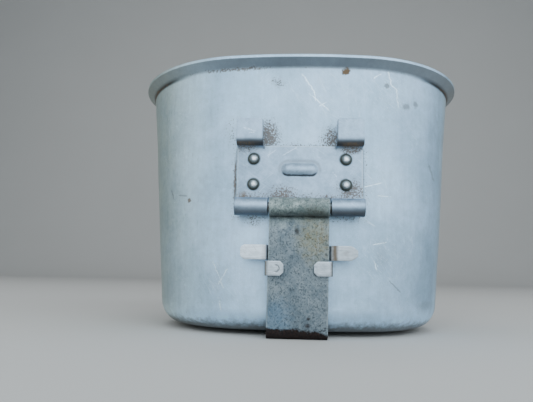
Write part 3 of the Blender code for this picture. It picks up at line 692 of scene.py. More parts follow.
class Paint:
    """A material whose pattern is read in millimetres of the piece's own coordinates.

    Its colour is built up coat by coat. A mask is a number from 0 to 1 in the shader.
    """

    def __init__(self, name, roughness, metallic):
        self.material = bpy.data.materials.new(name)
        self.material.use_nodes = True
        self.tree = self.material.node_tree
        self.shader = self.tree.nodes["Principled BSDF"]
        self.shader.inputs["Roughness"].default_value = roughness
        self.shader.inputs["Metallic"].default_value = metallic
        self.shader.inputs["Specular IOR Level"].default_value = DIRT_SHINE
        coordinates = self.node("TexCoord")
        scaled = self.node("VectorMath", {"operation": "SCALE"},
                           {0: coordinates.outputs["Object"], "Scale": 1 / MM})
        self.point = scaled.outputs[0]
        parts = self.node("SeparateXYZ", {}, {0: self.point})
        self.x, self.y, self.z = (Value(self, parts.outputs[axis]) for axis in "XYZ")

    def node(self, kind, settings=None, inputs=None):
        """A node of a type: its settings are set first, then its sockets get values or links."""
        made = self.tree.nodes.new("ShaderNode" + kind)
        for name, value in (settings or {}).items():
            setattr(made, name, value)
        for name, value in (inputs or {}).items():
            self.feed(made.inputs[name], value)
        return made

    def feed(self, socket, value):
        """Link or set one socket."""
        source = value.socket if isinstance(value, Value) else value
        if isinstance(source, bpy.types.NodeSocket):
            self.tree.links.new(source, socket)
        else:
            socket.default_value = source

    def layer(self, name):
        """A number that the mesh carries at each point."""
        return Value(self, self.node("Attribute", {"attribute_name": name}).outputs["Fac"])

    def math(self, operation, first, second=0.0):
        made = self.node("Math", {"operation": operation}, {0: first, 1: second})
        return Value(self, made.outputs[0])

    def smallest(self, first, second):
        return self.math("MINIMUM", first, second)

    def strongest(self, *masks):
        """The largest of several numbers."""
        result = masks[0]
        for mask in masks[1:]:
            result = self.math("MAXIMUM", result, mask)
        return result

    def near(self, value, reach, core):
        """1 where a value is within core of zero, and 0 where it is beyond reach."""
        return self.step(abs(value), reach, core)

    def step(self, value, low, high):
        """0 below low, 1 above high and smooth between them. low may be the larger one."""
        made = self.node("MapRange", {"interpolation_type": "SMOOTHSTEP"}, {
            "Value": value, "From Min": min(low, high), "From Max": max(low, high)})
        result = Value(self, made.outputs["Result"])
        return result if low < high else 1 - result

    def stretched(self, scale, turn=(0.0, 0.0, 0.0)):
        """The point with each axis scaled, after a turn."""
        made = self.node("Mapping", {"vector_type": "TEXTURE"}, {
            "Vector": self.point, "Rotation": turn, "Scale": tuple(1 / part for part in scale)})
        return made.outputs[0]

    def noise(self, scale, detail=3.0, roughness=0.55, point=None, seed=0.0):
        """Noise whose features are about 1 / scale millimetres."""
        made = self.node("TexNoise", {"noise_dimensions": "4D"}, {
            "Vector": point or self.point, "W": seed,
            "Scale": scale, "Detail": detail, "Roughness": roughness})
        return Value(self, made.outputs[0])

    def mix(self, factor, first, second):
        """A colour between two colours."""
        made = self.node("Mix", {"data_type": "RGBA"})
        self.feed(made.inputs[0], factor)
        for socket, colour in ((made.inputs[6], first), (made.inputs[7], second)):
            self.feed(socket, (*colour, 1.0) if isinstance(colour, tuple) else colour)
        return made.outputs[2]

    def scaled(self, colour, factor):
        """A colour times a number."""
        made = self.node("VectorMath", {"operation": "SCALE"}, {0: colour, "Scale": factor})
        return made.outputs[0]

    def coat(self, mask, colour):
        """Cover the colour so far with another one where the mask says."""
        self.colour = self.mix(mask, self.colour, colour)

    def shade(self, factor):
        """Multiply the colour so far by a number."""
        self.colour = self.scaled(self.colour, factor)

    def spot(self, x, z, radius, soft=0.5, squash=1.0, wobble=None):
        """A blot on a front face round (x, z). squash above 1 flattens it, wobble frays its edge."""
        across, up = self.x - x, (self.z - z) * squash
        distance = self.math("SQRT", across * across + up * up)
        if wobble is not None:
            distance = distance + (wobble - 0.5) * radius * 1.6
        return self.step(distance, radius * (1 + soft), radius * (1 - soft))

    def line(self, start, end, width, wobble=None):
        """A thin straight mark on a front face between two (x, z) points."""
        length = math.dist(start, end)
        along_x, along_z = (end[0] - start[0]) / length, (end[1] - start[1]) / length
        across, up = self.x - start[0], self.z - start[1]
        if wobble is not None:
            across = across + (wobble - 0.5) * 1.2
        run = across * along_x + up * along_z
        aside = abs(up * along_x - across * along_z)
        past = self.strongest(abs(run - length / 2) - length / 2, 0.0)
        return self.step(past * 0.4 + aside, width, 0.25 * width)

    def spots(self, wobble, *blots):
        """The strongest of several blots, each given as spot's numbers and a strength."""
        return self.strongest(*(self.spot(*blot[:-1], wobble) * blot[-1] for blot in blots))

    def lines(self, wobble, *marks):
        """The strongest of several thin marks, each given as line's numbers and a strength."""
        return self.strongest(*(self.line(*mark[:-1], wobble) * mark[-1] for mark in marks))

    def box(self, left, right, low, high):
        """Distance outside a rectangle on a front face, negative inside."""
        over_x = abs(self.x - (left + right) / 2) - (right - left) / 2
        over_z = abs(self.z - (low + high) / 2) - (high - low) / 2
        return self.strongest(over_x, over_z)

    def stipple(self, density, scale=1.9, seed=21.0):
        """Grains of dirt that cover more of the surface as the density goes from 0 to 1."""
        grains = self.noise(scale, 1.0, 0.6, seed=seed)
        shown = self.step(grains + density * 0.34, 0.68, 0.76)
        return shown * self.step(density, 0.02, 0.2)

    def hairlines(self, turn, density, breadth=0.012, seed=0.0):
        """Long thin marks: the lines along which a noise stretched 40 to 1 passes one half."""
        run = self.noise(1.0, 1.0, 0.5, self.stretched((0.035, 0.4, 1.1), turn), seed)
        mark = self.step(abs(run - 0.5), breadth, 0.0)
        patch = self.step(self.noise(0.09, 2.0, 0.5, seed=seed + 5), 1 - density, 1.12 - density)
        return mark * patch

    def bump(self, height, depth, strength=1.0):
        """Feed the normal with a height from 0 to 1 that stands for a depth in millimetres."""
        made = self.node("Bump", {}, {"Strength": strength, "Distance": depth * MM, "Height": height})
        self.tree.links.new(made.outputs[0], self.shader.inputs["Normal"])

    def finish(self, roughness=None, metallic=None):
        """Feed the shader with the colour so far and these numbers, and return the material."""
        self.feed(self.shader.inputs["Base Color"], self.colour)
        if roughness is not None:
            self.feed(self.shader.inputs["Roughness"], roughness)
        if metallic is not None:
            self.feed(self.shader.inputs["Metallic"], metallic)
        return self.material


# --- Materials ---------------------------------------------------------------------------------

GRIME = (0.165, 0.118, 0.078)
GRIME_FILM = (0.24, 0.19, 0.14)
RUST = (0.060, 0.024, 0.013)
DEEP_RUST = (0.006, 0.0035, 0.003)
PLATE_LEFT_GAP = -23.7


def scratch_cup(paint, front, jag, blotch):
    """Hairlines all over, scuffs, and pale jagged scratches on the front. Returns their mask."""
    breaks = paint.step(paint.noise(1.4, 2.0, 0.6, seed=19), 0.34, 0.50)
    scratched = paint.spots(None, (34.0, 93.0, 9.0, 0.8, 1.0, 1.0), (5.0, 90.0, 9.0, 0.8, 1.0, 1.0),
                            (30.0, 54.0, 7.0, 0.8, 1.0, 1.0), (-28.0, 18.0, 9.0, 0.8, 1.0, 1.0),
                            (30.0, 28.0, 8.0, 0.8, 1.0, 1.0))
    fresh = paint.strongest(
        paint.hairlines((0.0, 0.5, 0.2), 0.46), paint.hairlines((0.0, -0.9, 0.4), 0.42, seed=7),
        paint.hairlines((0.0, 1.45, 0.0), 0.44, seed=11))
    dense = paint.strongest(paint.hairlines((0.0, 1.05, 0.0), 0.8, 0.010, 23),
                            paint.hairlines((0.0, 0.75, 0.0), 0.8, 0.010, 27))
    scuff = paint.step(paint.noise(1.9, 4.0, 0.75, seed=8), 0.58, 0.70) * paint.step(blotch, 0.46, 0.64)
    scratches = breaks * paint.lines(
        jag, ((0.8, 96.4), (5.4, 89.5), 0.30, 1.0), ((5.2, 89.8), (5.6, 86.5), 0.30, 1.0),
        ((4.6, 87.9), (10.6, 82.7), 0.27, 1.0), ((7.2, 84.2), (9.4, 85.6), 0.25, 1.0),
        ((33.4, 98.6), (34.4, 93.8), 0.31, 1.0), ((36.6, 92.6), (37.1, 85.6), 0.28, 1.0),
        ((30.2, 97.6), (27.5, 95.8), 0.26, 1.0), ((34.4, 93.8), (36.8, 92.0), 0.30, 1.0),
        ((26.7, 33.3), (31.7, 34.3), 0.25, 1.0), ((27.1, 27.2), (28.0, 24.7), 0.34, 1.0),
        ((-28.8, 18.2), (-25.8, 23.3), 0.34, 1.0), ((-28.0, 11.8), (-27.6, 9.0), 0.40, 1.0),
        ((24.2, 54.3), (29.9, 56.0), 0.25, 1.0), ((28.7, 51.2), (33.4, 51.1), 0.24, 1.0),
        ((-31.0, 26.0), (-27.0, 17.0), 0.30, 1.0))
    worn = paint.smallest(paint.strongest(
        fresh * 0.45, dense * scratched * front * 0.7, scuff * 0.42, scratches * front * 1.25), 1.25)
    paint.coat(worn * 0.75, (0.72, 0.88, 1.0))
    return worn


def stain_cup(paint, front, warp, jag, cloud):
    """Grey smudges, small specks, dark flecks on the left and brown spots. Returns the dull mask."""
    x = paint.x
    smudges = paint.strongest(
        paint.spots(jag, (40.3, 86.2, 1.5, 0.5, 1.2, 0.6), (44.6, 88.0, 0.9, 0.5, 0.7, 0.6),
                    (48.5, 11.1, 3.0, 0.8, 2.0, 0.3), (30.0, 29.5, 2.4, 0.9, 0.6, 0.2)),
        paint.spots(warp, (32.6, 93.2, 0.95, 0.3, 1.0, 0.65)),
        paint.lines(warp, ((-50.6, 54.0), (-49.6, 51.0), 0.5, 0.6),
                    ((-46.4, 51.7), (-43.5, 51.2), 0.45, 0.5)),
        paint.lines(jag, ((51.2, 65.0), (53.3, 60.5), 0.8, 0.4), ((33.0, 20.3), (37.0, 16.7), 0.35, 0.55)))
    paint.coat(smudges * front, (0.14, 0.145, 0.15))
    specks = paint.step(paint.noise(1.1, 2.0, 0.5, seed=13), 0.68, 0.76) * paint.step(cloud, 0.60, 0.35)
    paint.coat(specks * 0.32, (0.14, 0.15, 0.14))
    upright = paint.stretched((1.3, 1.3, 0.22))
    flecks = paint.step(paint.noise(1.0, 3.0, 0.7, upright, 33), 0.58, 0.70)
    paint.coat(flecks * paint.step(x, -20, -50) * 0.35, (0.13, 0.16, 0.14))
    brown = paint.strongest(
        paint.spots(jag, (17.2, 97.8, 1.45, 0.3, 1.0, 0.98)),
        paint.spots(warp, (-41.9, 49.3, 0.8, 0.35, 1.0, 0.85), (31.5, 15.0, 2.2, 0.9, 1.2, 0.10)))
    paint.coat(brown * front, (0.135, 0.088, 0.045))
    return paint.strongest(brown, smudges * 0.6)


def grime_and_shadow_cup(paint, front, warp, jag, blotch, mottle):
    """Grains and a film of dirt round the bracket, and a painted shadow line beside the plate's sides."""
    x, z = paint.x, paint.z
    plate_edge = paint.box(-BRACKET_HALF, BRACKET_HALF, AXIS_Z - 3.0, PLATE_TOP)
    halo = paint.step(plate_edge, 4.0, -0.5) * 0.36
    left_gap = paint.near(x - PLATE_LEFT_GAP + (warp - 0.5) * 1.4, 0.7, 0.1)
    left_gap = left_gap * paint.near(z - AXIS_Z - 10.2, 9.0, 5.0)
    above_plate = paint.step(paint.box(-13.0, 13.0, PLATE_TOP - 1, PLATE_TOP + 0.3), 1.2, 0.0)
    between = paint.strongest(
        paint.spots(jag, (-8.5, 93.4, 2.4, 0.8, 1.3, 0.5)), above_plate * 0.6,
        paint.spots(None, (-12.2, PLATE_TOP + 3.6, 4.6, 0.75, 0.75, 0.95),
                    (12.4, PLATE_TOP + 2.4, 4.4, 0.75, 0.9, 0.85), (-16.5, AXIS_Z - 4.2, 3.2, 0.8, 1.3, 0.55),
                    (-24.2, PLATE_TOP + 6, 3.4, 0.7, 0.6, 0.35)))
    density = paint.strongest(halo, between) * (0.75 + 0.5 * blotch)
    paint.coat(paint.smallest(density, 1.0) * front * 0.22, GRIME_FILM)
    dirt = paint.strongest(paint.stipple(density, 2.1) * 0.78, left_gap * (0.35 + 0.9 * mottle))
    paint.coat(dirt * front, GRIME)
    # Painted shadow: a dark line on the wall beside each side of the plate.
    outline = paint.near(abs(x) - BRACKET_HALF - 0.45, 0.5, 0.1) * paint.near(z - AXIS_Z - 11, 12.0, 11.0)
    paint.coat(outline * 0.35 * front, (0.10, 0.10, 0.10))
    return dirt


def cup_metal():
    """Drawn aluminium: cool satin grey, clouded, streaked, scratched and grimed by the bracket, with painted
    light and shade.
    """
    paint = Paint("drawn_aluminium", 0.48, 0.82)
    x, y, z = paint.x, paint.y, paint.z
    shelter, inside = paint.layer("shelter"), paint.layer("inside")
    front = paint.step(y, WALL_Y + 34, WALL_Y + 24)
    warp = paint.noise(0.8, 3.0)
    jag = 0.5 + 1.6 * (paint.noise(0.55, 3.0, 0.7, seed=29) - 0.5)
    cloud = paint.noise(0.035, 4.0, 0.6)
    blotch = paint.noise(0.16, 4.0, 0.65, seed=3)
    mottle = paint.noise(0.55, 4.0, 0.7, seed=15)
    grain = paint.noise(2.6, 2.0, 0.6)
    streak = paint.noise(1.0, 3.0, 0.6, paint.stretched((0.5, 0.5, 0.045)), 2)
    tone = 0.32 + 0.50 * blotch + 0.36 * mottle + 0.28 * streak + 0.26 * grain
    paint.colour = paint.mix(paint.step(cloud, 0.35, 0.65), (0.335, 0.480, 0.615), (0.440, 0.610, 0.775))
    paint.coat((1 - front) * 0.75, (0.42, 0.475, 0.515))
    paint.shade(tone)

    # Greener, darker grey towards the sides, most on the left.
    side_tint = paint.step(x, -28, -62) * (0.80 + 0.7 * (blotch - 0.5)) + paint.step(x, 50, 66) * 0.25
    paint.coat(side_tint, paint.scaled(paint.mix(mottle, (0.29, 0.34, 0.30), (0.37, 0.43, 0.39)), tone))
    # Painted light and shade: a brighter band just above the base, a brighter band left of the middle, and a
    # slightly darker lower wall.
    painted_light_bands = 0.45 * paint.step(z, BASE_Z + 11, BASE_Z + 3)
    painted_light_bands = painted_light_bands + 0.15 * paint.step(x, -4, -18) * paint.step(x, -54, -38)
    paint.shade(1 + painted_light_bands - 0.06 * paint.step(z, 46, 14))
    # Painted shade: a dark band along the bottom edge stands in for the dark ground reflected there.
    low = paint.step(z + (mottle - 0.5) * 5, BASE_Z + 4.8, BASE_Z + 1.2) * 0.82
    paint.coat(low, (0.155, 0.135, 0.115))

    worn = scratch_cup(paint, front, jag, blotch)
    stains = stain_cup(paint, front, warp, jag, cloud)

    # Painted shade: the lip's underside is darkened, less so towards the left.
    paint.coat(shelter * (0.66 - 0.24 * paint.step(x, -22, -46)), (0.205, 0.200, 0.195))
    # Painted shade: a dark line along the lip's root towards both ends of the cup; the grains after it are
    # dirt.
    root = paint.near(z - LIP_ROOT - 0.4, 1.3, 0.1) * (1 - inside)
    paint.coat(root * paint.step(abs(x), 40, 55) * 0.95, (0.03, 0.032, 0.034))
    along_rim = paint.step(x, -46, -28) * paint.step(x, -8, -20) * 0.75 + paint.step(abs(x), 50, 64) * 0.8
    paint.coat(paint.stipple(root * (along_rim + 0.12), 1.5, 17) * 0.7, GRIME)

    dirt = grime_and_shadow_cup(paint, front, warp, jag, blotch, mottle)

    tide = paint.near(z + (blotch - 0.5) * 4 - (BASE_Z + 62), 2.2, 0.0) * 0.35
    stain = paint.smallest(paint.step(z + (cloud - 0.5) * 30, BASE_Z + 50, BASE_Z + 6) * 0.5 + tide, 0.8)
    paint.coat(inside * stain, (0.28, 0.26, 0.22))

    rough = 0.40 + 0.14 * blotch + 0.10 * mottle + dirt * front * 0.3 - worn * 0.12
    height = grain * 0.35 + mottle * 0.8 + blotch * 0.9 + streak * 0.5 - worn * 0.3 + dirt * front * 0.4
    paint.bump(height, 0.13, 0.6)
    dull = paint.strongest(dirt, stains) * front
    return paint.finish(rough, 0.86 - dull * 0.7 - side_tint * 0.2)


def bracket_highlight_and_shade(paint):
    """A painted highlight along the plate's edges, and painted shade on the sides and undersides of its hooks
    and knuckles.
    """
    x, y, z = paint.x, paint.y, paint.z
    ahead = paint.step(y, WALL_Y - 1.9, WALL_Y - 2.8)
    plate_rim = paint.strongest(paint.near(abs(x) - BRACKET_HALF, 0.6, 0.2),
                                paint.near(z - PLATE_TOP, 0.6, 0.2))
    # Painted highlight: pale lines along the plate's sides and top edge.
    paint.coat(plate_rim * (1 - ahead) * 0.35, (0.55, 0.66, 0.75))
    # Painted shade: dark inner sides of the hooks and dark outer ends of the knuckles.
    hook_side = paint.step(abs(x), HOOK_INNER + 0.55, HOOK_INNER + 0.1)
    hook_side = hook_side * paint.step(z, HOOK_FLOOR, HOOK_FLOOR + 1) * ahead
    knuckle_side = paint.step(abs(x), BRACKET_HALF - 0.5, BRACKET_HALF - 0.05)
    knuckle_side = knuckle_side * paint.step(z, AXIS_Z + 3.4, AXIS_Z + 3.0)
    paint.coat(paint.strongest(hook_side * 0.6, knuckle_side * 0.4), (0.08, 0.09, 0.10))
    # Painted shade: dark undersides of the hook bends and lower half of the knuckles, a little darker on the
    # right.
    hook_turn = paint.step(z, HOOK_FLOOR + 2.3, HOOK_FLOOR - 0.1)
    hook_turn = hook_turn * paint.step(z, HOOK_FLOOR - 1.3, HOOK_FLOOR - 0.9) * ahead
    knuckle_turn = paint.step(z, AXIS_Z + 0.7, AXIS_Z - 2.4) * (0.80 + 0.14 * paint.step(x, 0, 12))
    paint.coat(paint.strongest(hook_turn * 0.93, knuckle_turn * 0.9), (0.064, 0.058, 0.056))


def line_bump(paint, mottle):
    """A soft brown line over the pressed bump and a painted shadow line along its foot."""
    along = paint.strongest(abs(paint.x) - (BUMP_HALF_WIDTH - BUMP_HALF_HEIGHT), 0.0)
    rise = paint.z - BUMP_Z
    from_bump = paint.math("SQRT", along * along + rise * rise) + (mottle - 0.5) * 0.8
    halo = paint.near(from_bump - 3.1, 1.0, 0.1) * paint.step(rise, -3.0, 0.5)
    paint.coat(halo * 0.34, (0.11, 0.09, 0.07))
    # Painted shadow: a dark line along the bump's lower foot.
    foot = paint.near(from_bump - 2.15, 0.6, 0.1) * paint.step(rise, -0.6, -1.7)
    paint.coat(foot * 0.85, (0.045, 0.046, 0.048))


def bracket_metal():
    """Pressed aluminium, a little duller than the cup, with grime near its lower bend, dark rings round its
    rivets, and painted light and shade.
    """
    paint = Paint("bracket_aluminium", 0.45, 0.8)
    z = paint.z
    warp = paint.noise(0.9, 3.0)
    blotch = paint.noise(0.22, 4.0, 0.62)
    mottle = paint.noise(0.8, 4.0, 0.7, seed=6)
    grain = paint.noise(3.2, 2.0, 0.6)
    paint.colour = paint.mix(paint.step(blotch, 0.36, 0.66), (0.278, 0.388, 0.505), (0.350, 0.475, 0.615))
    paint.shade(0.50 + 0.34 * blotch + 0.34 * mottle + 0.30 * grain)
    fresh = paint.strongest(
        paint.hairlines((0.0, 0.6, 0.0), 0.6, seed=4), paint.hairlines((0.0, -0.7, 0.0), 0.52, seed=9),
        paint.hairlines((0.0, 0.05, 0.0), 0.5, 0.010, 14))
    marks = paint.lines(
        warp, ((-11.6, PLATE_TOP - 3.6), (-8.9, PLATE_TOP - 1.6), 0.34, 1.2),
        ((-11.2, PLATE_TOP - 3.9), (-11.0, PLATE_TOP - 2.0), 0.28, 1.2),
        ((-6.0, PLATE_TOP - 3.4), (-1.2, PLATE_TOP - 0.6), 0.28, 1.2),
        ((-20.0, HOOK_TOP - 3.6), (-16.6, HOOK_TOP - 4.6), 0.34, 1.2),
        ((-18.2, HOOK_TOP - 5.4), (-16.4, HOOK_TOP - 5.2), 0.28, 1.2),
        ((12.0, AXIS_Z + 13.0), (13.4, AXIS_Z + 11.6), 0.28, 1.2))
    worn = paint.strongest(fresh * 0.48, marks * paint.step(grain, 0.40, 0.56))
    paint.coat(worn * 0.8, (0.62, 0.76, 0.92))
    bracket_highlight_and_shade(paint)

    on_plate = paint.step(z, AXIS_Z + 3.0, AXIS_Z + 3.8)
    on_plate = on_plate * paint.step(z, HOOK_FLOOR + 0.6, HOOK_FLOOR - 0.3)
    density = paint.strongest(
        paint.step(z, PLATE_BOTTOM + 3.6, PLATE_BOTTOM - 0.6) * 0.62,
        paint.spots(None, (18.4, AXIS_Z + 6.4, 4.6, 0.8, 1.2, 0.8),
                    (18.6, PLATE_TOP - 0.9, 4.0, 0.5, 2.2, 0.8),
                    (-20.0, PLATE_TOP - 0.6, 4.6, 0.6, 2.6, 0.6),
                    (-6.0, PLATE_BOTTOM + 1.0, 5.0, 0.7, 1.6, 0.8)))
    paint.coat(paint.smallest(density, 1.0) * on_plate * 0.22, GRIME_FILM)
    dirt = paint.stipple(density * (0.75 + 0.5 * blotch), 2.2, 31) * on_plate
    paint.coat(dirt * 0.75, GRIME)
    line_bump(paint, mottle)
    rust = paint.spot(-20.2, AXIS_Z + 4.7, 1.1, 0.7, 1.2, warp) * 0.6
    paint.coat(rust * on_plate, (0.17, 0.105, 0.045))
    rings = paint.spots(None, *((side * RIVET_X, level, RIVET_HEAD + 0.30, 0.14, 1.0, 0.88)
                                for side in (-1, 1) for level in RIVET_HEIGHTS.values()))
    paint.coat(rings * on_plate, (0.045, 0.046, 0.036))

    paint.bump(grain * 0.4 + mottle * 0.6 + blotch * 0.6 - worn * 0.3 + dirt * 0.4, 0.10, 0.6)
    return paint.finish(0.38 + 0.10 * blotch + 0.08 * mottle + dirt * 0.3, 0.85 - dirt * 0.6)


def rivet_metal():
    """Rivet heads with a painted highlight in the middle, grey round it and darker towards their edges."""
    paint = Paint("rivet_aluminium", 0.34, 0.9)
    fray = paint.noise(1.6, 3.0)
    reaches, painted_glints = [], []
    for side in (-1, 1):
        for level in RIVET_HEIGHTS.values():
            across, up = paint.x - side * RIVET_X, paint.z - level
            reaches.append(paint.math("SQRT", across * across + up * up))
            painted_glints.append(paint.spot(side * RIVET_X + 0.15, level - 0.15, 0.70, 0.7, 1.0, fray))
    reach = paint.smallest(paint.smallest(*reaches[:2]), paint.smallest(*reaches[2:]))
    rim = paint.step(reach + (fray - 0.5) * 0.7, RIVET_HEAD - 1.05, RIVET_HEAD - 0.3)
    # Painted highlight: a bright spot on each dome, a little right of and below its middle.
    paint.colour = paint.mix(paint.strongest(*painted_glints), (0.175, 0.215, 0.240), (0.70, 0.77, 0.84))
    paint.coat(rim * 0.9, (0.055, 0.062, 0.050))
    paint.bump(paint.noise(1.1, 2.0), 0.22, 0.7)
    return paint.finish(0.32 + 0.25 * rim, 0.92 - rim * 0.5)


def pin_metal():
    """Dull steel with a thin rust film."""
    paint = Paint("pin_steel", 0.5, 0.85)
    film = paint.step(paint.noise(0.9, 4.0), 0.45, 0.65)
    paint.colour = paint.mix(film * 0.7, (0.22, 0.23, 0.23), (0.10, 0.058, 0.036))
    paint.bump(paint.noise(3.0, 3.0), 0.05, 0.6)
    return paint.finish(0.45 + 0.25 * film, 0.9 - film * 0.5)


def rust_strap(paint, warp, blotch, mottle, grain):
    """Rust at the strap's foot and on the grip, with streaks and dots. Returns its mask."""
    x, y, z = paint.x, paint.y, paint.z
    ragged = (mottle - 0.5) * 3.2 + (blotch - 0.5) * 3.5
    below = paint.step(z + ragged + x * 0.10, 3.7, 2.6) * paint.step(y, WALL_Y + 7, WALL_Y + 2)
    streaks = paint.step(z + (warp - 0.5) * 11, 7.4, 3.4) * paint.step(mottle, 0.52, 0.60)
    streaks = streaks * paint.step(x, -2.0, 3.0) * paint.step(y, WALL_Y + 4, WALL_Y)
    dots = paint.spots(warp, (-0.7, AXIS_Z - 8.6, 0.8, 0.6, 0.7, 0.75), (3.5, 7.2, 0.5, 0.6, 1.0, 0.75),
                       (3.2, 4.8, 0.8, 0.7, 1.0, 0.75))
    flakes = paint.step(paint.noise(0.35, 4.0, 0.7, seed=9), 0.56, 0.68)
    flakes = flakes * paint.step(y, WALL_Y + 2, WALL_Y + 8)
    rust = paint.strongest(below, streaks * 0.8, dots, flakes * 0.6)
    paint.coat(rust * 0.97, paint.mix(paint.step(grain, 0.40, 0.75) * 0.5, DEEP_RUST, RUST))
    return rust


def strap_metal():
    """Old plated steel: grey-green above, blue-grey below, pitted, with rust along the bend."""
    paint = Paint("pitted_steel", 0.55, 0.6)
    x, y, z = paint.x, paint.y, paint.z
    warp = paint.noise(0.5, 4.0)
    blotch = paint.noise(0.19, 5.0, 0.65)
    mottle = paint.noise(0.75, 4.0, 0.7, seed=2)
    grain = paint.noise(3.0, 3.0, 0.65)
    grey = paint.mix(paint.step(blotch, 0.36, 0.66), (0.112, 0.146, 0.172), (0.200, 0.242, 0.268))
    green = paint.mix(paint.step(mottle, 0.38, 0.64), (0.140, 0.186, 0.184), (0.285, 0.345, 0.340))
    upper = paint.step(z + (blotch - 0.5) * 14, AXIS_Z - 8, AXIS_Z - 2)
    paint.colour = paint.mix(upper, grey, green)
    blue = paint.spot(-7.8, 7.0, 4.6, 0.8, 0.8, warp) * paint.step(y, WALL_Y + 4, WALL_Y)
    paint.coat(blue * 0.6, (0.085, 0.165, 0.250))
    olive = paint.spot(6.0, AXIS_Z - 11.0, 5.5, 0.7, 0.75, warp)
    paint.coat(olive * 0.55, (0.225, 0.235, 0.160))
    ochre = paint.strongest(olive, paint.spot(8.0, AXIS_Z - 11.0, 4.5, 0.7, 0.7, warp))
    paint.coat(ochre * paint.step(mottle + grain * 0.4, 0.66, 0.80) * 0.6, (0.14, 0.110, 0.052))
    paint.shade(0.30 + 0.70 * mottle + 0.75 * grain + 0.12 * paint.step(z, 22, 36))
    dark = paint.spot(5.5, AXIS_Z - 1.2, 4.2, 0.7, 1.8, warp) * paint.step(mottle, 0.40, 0.60)
    paint.coat(dark * 0.65, (0.036, 0.042, 0.036))
    weave = paint.strongest(paint.hairlines((0.0, 0.8, 0.0), 0.9, 0.022, 31),
                            paint.hairlines((0.0, -0.8, 0.0), 0.9, 0.022, 35))
    along = paint.hairlines((0.0, 1.5, 0.0), 0.5, 0.016, 6)
    paint.coat(paint.strongest(along * 0.35, weave * 0.15), (0.40, 0.45, 0.48))
    pits = paint.step(paint.noise(2.6, 2.0, 0.6, seed=4), 0.56, 0.66)
    paint.coat(pits * 0.55, (0.040, 0.052, 0.060))
    # Painted shade: a dark band on the lower half of the curl round the pin.
    below_pin = paint.step(z, AXIS_Z - 0.4, AXIS_Z - 2.9) * paint.step(z, AXIS_Z - 5.2, AXIS_Z - 3.4)
    paint.coat(below_pin * 0.5, (0.03, 0.035, 0.035))
    from_edge = abs(abs(x + (AXIS_Z - z) * HANDLE_LEAN) - HANDLE_HALF) + (mottle - 0.5) * 0.6
    paint.coat(paint.step(from_edge, 0.7, 0.1) * 0.34, (0.34, 0.40, 0.42))

    rust = rust_strap(paint, warp, blotch, mottle, grain)
    paint.bump(grain * 0.5 + mottle * 0.8 - pits * 1.2 + rust * 0.5, 0.16, 0.9)
    return paint.finish(0.50 + 0.15 * mottle + rust * 0.3, 0.62 - rust * 0.6 - upper * 0.15)


def latch_metal():
    """Bright plated steel with brushed hairlines, a rust stain in one bend and a dent with painted shade on
    one side of its rim.
    """
    paint = Paint("bright_steel", 0.34, 0.9)
    x, z = paint.x, paint.z
    warp = paint.noise(0.9, 3.0)
    mottle = paint.noise(0.6, 4.0, 0.65)
    brushed = paint.noise(1.0, 3.0, 0.6, paint.stretched((0.25, 0.25, 3.5)), 3)
    clips = paint.step(z, TAB_TOP - 5.3, TAB_TOP - 5.9)
    tabs = 1 - clips
    paint.colour = paint.mix(paint.step(mottle, 0.36, 0.70), (0.60, 0.68, 0.755), (0.42, 0.475, 0.525))
    duller = 1 - 0.30 * paint.step(x, 12.0, 15.0) * tabs - 0.28 * clips
    paint.shade(duller * (0.20 + 1.0 * brushed + 0.60 * mottle))
    lines = paint.strongest(paint.hairlines((0.0, 0.9, 0.0), 0.6, 0.014, 2),
                            paint.hairlines((0.0, -0.4, 0.0), 0.55, 0.014, 5))
    paint.coat(lines * 0.4, (0.24, 0.26, 0.28))
    bend = paint.near(x - 12.5 + (mottle - 0.5) * 1.4, 1.7, 0.1) * tabs
    far_bend = paint.near(x + 12.0, 1.2, 0.2) * tabs * 0.25
    freckle = paint.spot(16.4, TAB_TOP - 2.7, 1.0, 0.8, 1.0, warp) * 0.3
    edges = paint.step(abs(abs(x) - 11.7) + (mottle - 0.5) * 0.7, 0.75, 0.1) * clips
    paint.coat(paint.strongest(bend * 0.9, freckle, edges * 0.7, far_bend), (0.120, 0.082, 0.042))
    # Painted shade: the right half of the dent's rim is darkened.
    across, up = x + 8.0, z - (CLIP_BOTTOM + 2.45)
    ring = paint.math("SQRT", across * across + up * up)
    crescent = paint.near(ring - 1.15, 0.34, 0.08) * paint.step(across, -0.5, 0.3)
    paint.coat(crescent * 0.55, (0.12, 0.13, 0.14))
    paint.bump(crescent * -1.4 + brushed * 0.35 + mottle * 0.5, 0.14, 0.7)
    return paint.finish(0.30 + 0.12 * brushed + bend * 0.3, 0.92 - bend * 0.5)


def floor_metal():
    """Matt pale floor with a trace of cloud."""
    paint = Paint("pale_floor", 0.9, 0.0)
    paint.colour = paint.mix(paint.noise(0.004, 2.0), (0.52, 0.515, 0.50), (0.56, 0.555, 0.545))
    return paint.finish()


# --- Stage -------------------------------------------------------------------------------------

def make_stage():
    """A pale sweep: a flat floor that curves up into a wall behind the cup, as one sheet."""
    run = np.linspace(-1400, 900, 24)
    bend = np.linspace(0, math.pi / 2, 16)[1:]
    radius = 500.0
    y = np.concatenate([run, 900 + radius * np.sin(bend), [900 + radius, 900 + radius]])
    z = np.concatenate([np.zeros(len(run)), radius * (1 - np.cos(bend)), [1400, 2400]])
    x = np.linspace(-2400, 2400, 12)
    points = np.stack(np.broadcast_arrays(x[None, :], y[:, None], z[:, None]), -1).reshape(-1, 3)
    mesh = bpy.data.meshes.new("sweep")
    mesh.from_pydata((points * MM).tolist(), [], grid_quads(len(y), len(x)).tolist())
    mesh.shade_smooth()
    mesh.materials.append(floor_metal())
    sweep = bpy.data.objects.new("sweep", mesh)
    bpy.context.scene.collection.objects.link(sweep)


